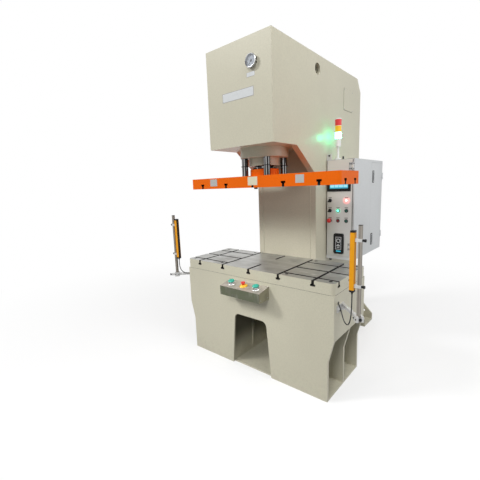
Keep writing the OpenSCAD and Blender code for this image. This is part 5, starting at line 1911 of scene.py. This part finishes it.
    def _hinge_blocks(self) -> None:
        """Adds the white hinge covers on the door's leaves, each over a black border of painted shadow, with screws on
        both leaves.
        """
        x, y = self.hinge
        blocks, shadow_borders, on_door, on_box = [], [], [], []
        for z in self.hinges:
            # Painted shadow: a black border sits behind each cover.
            shadow_borders.append(Meshes.block((x, y, z), (-14.5, 1.7, -0.5), (14.5, 3.5, 60.5), 0.4))
            blocks.append(Meshes.block((x, y, z), (-13, 0, 1), (13, 3.5, 59), 0.8))
            on_door += [((x + step * MM, y, z + up * MM), OUT_FRONT) for step in (-6, 6) for up in (12, 48)]
            on_box += [((x + self.hinge_fixed, y - 0.8 * MM, z + up * MM), OUT_FRONT) for up in (10, 50)]
        self.form("hinge_covers", blocks, "pale_plate", "cabinet_paint")
        self.form("hinge_borders", shadow_borders, "black_plastic")
        self.repeat("hinge_screws", Fasteners.socket_cap(4.6, 2.4), on_door, "black_steel")
        fixed = Fasteners.socket_cap(4.2, 2.4)
        self.repeat("hinge_screws_fixed", fixed, on_box, "black_steel", body=Body.FRAME)

    def _latches(self) -> None:
        """Adds the frames, fields and pulls of the side door's two latches."""
        for name, finish, slot, low, high, round_off in (
            ("latch_frames", "black_plastic", "black_plastic", (-0.2, -21, -4), (3.6, 21, 104), 1.2),
            ("latch_fields", "pale_plate", "bright_steel", (3.2, -14, 4), (4.2, 14, 96), 0.3),
            ("latch_pulls", "black_plastic", "black_plastic", (4.0, -5, 10), (6.6, 5, 90), 1.0),
        ):
            forms = [Meshes.block((self.side, self.latch_middle, z), low, high, round_off) for z in self.latches]
            self.form(name, forms, finish, slot, body=Body.SIDE_LEAF)

    def _gap_shadows(self) -> None:
        """Adds dark strips of painted shadow in the gaps along the door's two long edges."""
        y0, y1 = self.front - 0.8 * MM, self.front + 1.5 * MM
        # Painted shadow: dark strips stand for the shade in the door's gaps.
        gap_shadows = [Meshes.slab((x0, y0, z0), (x1, y1, z1), 0.3) for x0, z0, x1, z1 in self.gap_shadows]
        self.form("door_trims", gap_shadows, "joint_shadow", "black_plastic")


@dataclass
class StackLight(Assembly):
    """The stack light on the cabinet: three fluted lenses on a tube, with radius and height in millimetres."""

    centre: tuple[float, float] = (0.374, 0.534)
    low: float = 1.841
    radius: float = 26.0
    tall: float = 52.0
    flutes: int = 32

    def build(self) -> None:
        """Makes the lenses and the rings between them."""
        self.dress("pole_plastic", "stack_pole")
        for number, finish in enumerate(("lens_green", "lens_yellow", "lens_red")):
            replaced = ("stack_lenses",) if number == 0 else ()
            self.form(f"{finish}_stage", self._lens(number), finish, "lens_plastic", *replaced, smooth=True)
        half, rim = 1.1, self.radius - 0.9
        ring = [(0.0, -half), (rim, -half), (rim, half), (0.0, half)]
        rings = [Meshes.lathe(ring, 48, self._stage(number)) for number in range(4)]
        self.form("lens_rings", rings, "pole_plastic", smooth=True)

    def _stage(self, number: int) -> Matrix:
        """The matrix that moves to the foot of a lens."""
        return Matrix.Translation((*self.centre, self.low + number * self.tall * MM))

    def _lens(self, number: int) -> Form:
        """One lens with upright flutes.

        Args:
            number: its number from the bottom.

        Returns:
            The closed form.
        """
        r, cut, low, high = self.radius - 0.2, 0.8, 1.0, self.tall - 1.0
        profile = [(0.0, low), (r - cut, low), (r, low + cut), (r, high - cut), (r - cut, high), (0.0, high)]
        form = Meshes.lathe(profile, self.flutes * 4)
        Meshes.fluted(form, 0.9 * r * MM, self.flutes, 0.008, -1)
        bmesh.ops.transform(form, matrix=self._stage(number), verts=form.verts)
        return form


@dataclass
class TwoHandConsole(Assembly):
    """The console on the bed's front with its palm buttons, whose caps' radius is in millimetres."""

    screw_inset: float = 0.018
    palm_out: float = 0.121
    top: tuple[float, float] = (-0.311, 0.730)
    slope: float = 26 / 122
    cap: float = 26.5

    def build(self) -> None:
        """Dresses the console."""
        self.dress("console_sheet", "console_box")
        self.dress("console_collars", "console_collars")
        self.dress("teal_palm", "palm_button_left", "palm_button_right")
        self.dress("red_knob", "console_estop")
        self._palm_caps()
        low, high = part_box("console_box")
        inset = self.screw_inset
        spots = [((side * high.x, y, low.z + inset), (side, 0.0, 0.0))
                 for side in Side for y in (low.y + inset, high.y - inset)]
        self.repeat("console_screws", Fasteners.pan_head(3.6, 2.0), spots, "turned_steel", "bright_steel")

    def _palm_caps(self) -> None:
        """Adds the wide crowned caps of the palm buttons and the low shrouds round them."""
        facing = Vector((0.0, -self.slope, 1.0))
        r, crown = self.cap, 23.6
        cap = [(0.0, 18.6), (r - 5, 18.6), (r - 2, 19.3), (r - 0.4, 21.2), (r, crown)]
        cap += [(r * math.cos(a), crown + 11.6 * math.sin(a)) for a in (0.25, 0.5, 0.75, 1.0, 1.2, 1.4)]
        cap.append((0.0, 35.2))
        shroud = [(24.0, -0.2), (34.0, -0.2), (34.0, 3.4), (32.4, 5.0), (26.0, 5.0), (24.0, 3.8), (24.0, -0.2)]
        shrouds = []
        for side, body in zip(Side, (Body.PALM_LEFT, Body.PALM_RIGHT)):
            at = Meshes.turn_to(facing, (side * self.palm_out, *self.top))
            crowned = Meshes.lathe(cap, 48, at)
            self.form(f"{body.value}_cap", crowned, "teal_palm", "teal_plastic", body=body, smooth=True)
            shrouds.append(Meshes.lathe(shroud, 48, at))
        self.form("palm_shrouds", shrouds, "bright_ring", "bright_steel", smooth=True)


@dataclass
class LightCurtains(Assembly):
    """The light curtains beside the die space, on their posts and arms."""

    width: float = 0.028
    depth: float = 0.030
    cap: float = 0.013
    gland: float = 0.016
    low: float = 0.843
    high: float = 1.212
    bars: tuple[tuple[float, float], tuple[float, float]] = ((-0.80776, -0.27576), (0.83463, -0.30263))
    post_off: float = 0.042
    pivot: tuple[float, float] = (0.714, -0.140)
    arm_length: float = 0.244
    arm_middle: float = 0.686
    clamps: tuple[float, float] = (0.883, 1.156)
    post_top: float = 1.244
    lenses: int = 15
    lens_low: float = 0.876
    lens_pitch: float = 0.0216
    window_half: float = 12.5 * MM
    knob_out: float = 18 * MM
    shank_out: float = 11 * MM
    jaw_off: float = 23 * MM
    jaw_pitch: float = 15 * MM
    bolts: tuple[Point, ...] = ((0.7188, -0.198, 0.664), (0.7188, -0.126, 0.664))

    def build(self) -> None:
        """Makes the bars and dresses what carries them."""
        self.dress("post_aluminium", "curtain_posts")
        self.dress("arm_metal", "curtain_arms")
        sections, caps, windows = [], [], []
        lenses: list[Spot] = []
        screws: list[Spot] = []
        for side, (x, y) in zip(Side, self.bars):
            sections.append(self._section(x, y, -side))
            caps += self._caps(x, y)
            face = x - side * (self.width / 2 - 2 * MM)
            front = face - side * 0.8 * MM
            low, high = sorted((face, front))
            windows.append(Meshes.slab((low, y - self.window_half, self.low + self.cap),
                                       (high, y + self.window_half, self.high - self.cap)))
            lenses += [((front, y, self.lens_low + self.lens_pitch * k), (-side, 0.0, 0.0)) for k in range(self.lenses)]
            screws += [((x + 9.5 * MM * i, y + 10.5 * MM * j, self.high), UP) for i in Side for j in Side]
        self.form("curtain_sections", sections, "curtain_yellow", "curtain_yellow", "curtain_bars")
        self.form("curtain_caps", caps, "black_plastic")
        self.form("curtain_windows", windows, "dark_pane", "black_plastic")
        lens = Meshes.lathe([(5.4, 0.0), (4.8, 0.5), (3.0, 0.8), (0.0, 0.9)], 16)
        self.repeat("curtain_lenses", lens, lenses, "lens_dark", "black_plastic")
        self.repeat("cap_screws", Fasteners.socket_cap(1.8, 1.2), screws, "turned_steel", "bright_steel")
        self._clamping()

    def _section(self, x: float, y: float, inward: int) -> Form:
        """One bar's aluminium section, open towards the other bar.

        Args:
            x: the bar's middle.
            y: the bar's middle.
            inward: the X direction of the open side.

        Returns:
            The section, drawn along Z.
        """
        w, d, lip, cut = self.width / 2, self.depth / 2, 2.2 * MM, 1.4 * MM
        sunk, groove = 2.6 * MM, 9.0 * MM
        half = [(-w, d - groove), (-w, d - cut), (-w + cut, d), (w - cut, d), (w, d - cut), (w, d - lip),
                (w - sunk, d - lip)]
        outline = [(a, -b) for a, b in half] + half[::-1] + [(-w + cut, d - groove), (-w + cut, -d + groove)]
        foot = self.low + self.cap
        points = [Vector((x + inward * a, y + b, foot)) for a, b in outline]
        return Meshes.prism(points, UP * (self.high - self.low - 2 * self.cap))

    def _caps(self, x: float, y: float) -> list[Form]:
        """The end caps of one bar and the tapered sleeve that its cable leaves by.

        Args:
            x: the bar's middle.
            y: the bar's middle.

        Returns:
            The forms.
        """
        w, d = self.width / 2, self.depth / 2
        ends = [Meshes.slab((x - w, y - d, z), (x + w, y + d, z + self.cap), 2.4)
                for z in (self.low, self.high - self.cap)]
        sleeve = [(0.0, 0.0), (4.1, 0.0), (4.9, 2.0), (4.5, 4.0), (5.6, 6.0), (5.2, 8.0), (6.6, 10.0), (8.6, 14.0),
                  (10.2, 17.5), (0.0, 17.5)]
        return [*ends, Meshes.lathe(sleeve, 24, Matrix.Translation((x, y, self.low - self.gland)))]

    def _clamping(self) -> None:
        """Adds the clamps' bands, shanks and knobs, the posts' caps, and the screws of the brackets and jaws."""
        knobs: list[Spot] = []
        shanks: list[Spot] = []
        bolts: list[Spot] = []
        jaws: list[Spot] = []
        bands, caps = [], []
        slant = math.sqrt(0.5)
        for side, (x, y) in zip(Side, self.bars):
            post, out = x + side * self.post_off, (side, 0.0, 0.0)
            knobs += [((post + side * self.knob_out, y, z), out) for z in self.clamps]
            shanks += [((post + side * self.shank_out, y, z), out) for z in self.clamps]
            bands += [Meshes.block((post, y, z), (-12.5, -12.5, -9), (12.5, 12.5, 9), 1.0) for z in self.clamps]
            caps.append(Meshes.block((post, y, self.post_top), (-10.3, -10.3, -2.5), (10.3, 10.3, 0.8), 0.5))
            along = Vector((side * slant, -slant, 0.0))
            across = Vector((slant, side * slant, 0.0))
            root = Vector((side * self.pivot[0], self.pivot[1], self.arm_middle))
            knobs.append((root + along * self.arm_length, along))
            hold = Vector((post, y, self.arm_middle))
            jaws += [(hold + across * (turn * self.jaw_off) + along * (shift * self.jaw_pitch), across * turn)
                     for turn in Side for shift in Side]
            bolts += [((side * reach, place, low), out) for reach, place, low in self.bolts]
        shank = Meshes.lathe([(0.0, 0.0), (7.5, 0.0), (7.5, 14.5), (7.0, 15.4), (0.0, 15.6)], 20)
        self.repeat("clamp_shanks", shank, shanks, "black_plastic")
        self.form("clamp_bands", bands, "arm_metal", "bright_steel")
        self.form("post_caps", caps, "black_plastic")
        self.repeat("clamp_knobs", Fasteners.star_knob(10.0, 15.0), knobs, "black_plastic")
        self.repeat("bracket_bolts", Fasteners.socket_cap(6.5, 6.0), bolts, "black_steel")
        self.repeat("jaw_screws", Fasteners.socket_cap(4.2, 4.0), jaws, "black_steel")


def main() -> None:
    """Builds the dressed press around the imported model."""
    logging.basicConfig(level=logging.INFO, format="%(name)s: %(message)s")
    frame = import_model()
    Viewpoint().build()
    shop = Workshop(frame)
    CurtainCables(shop).build()
    Studio().build()
    for assembly in (PressFrame, Ram, PressureGauge, ControlCabinet, StackLight, TwoHandConsole, LightCurtains):
        assembly(shop).build()
    LOG.info("%d pieces made", len(shop.made))


if __name__ == "__main__":
    main()
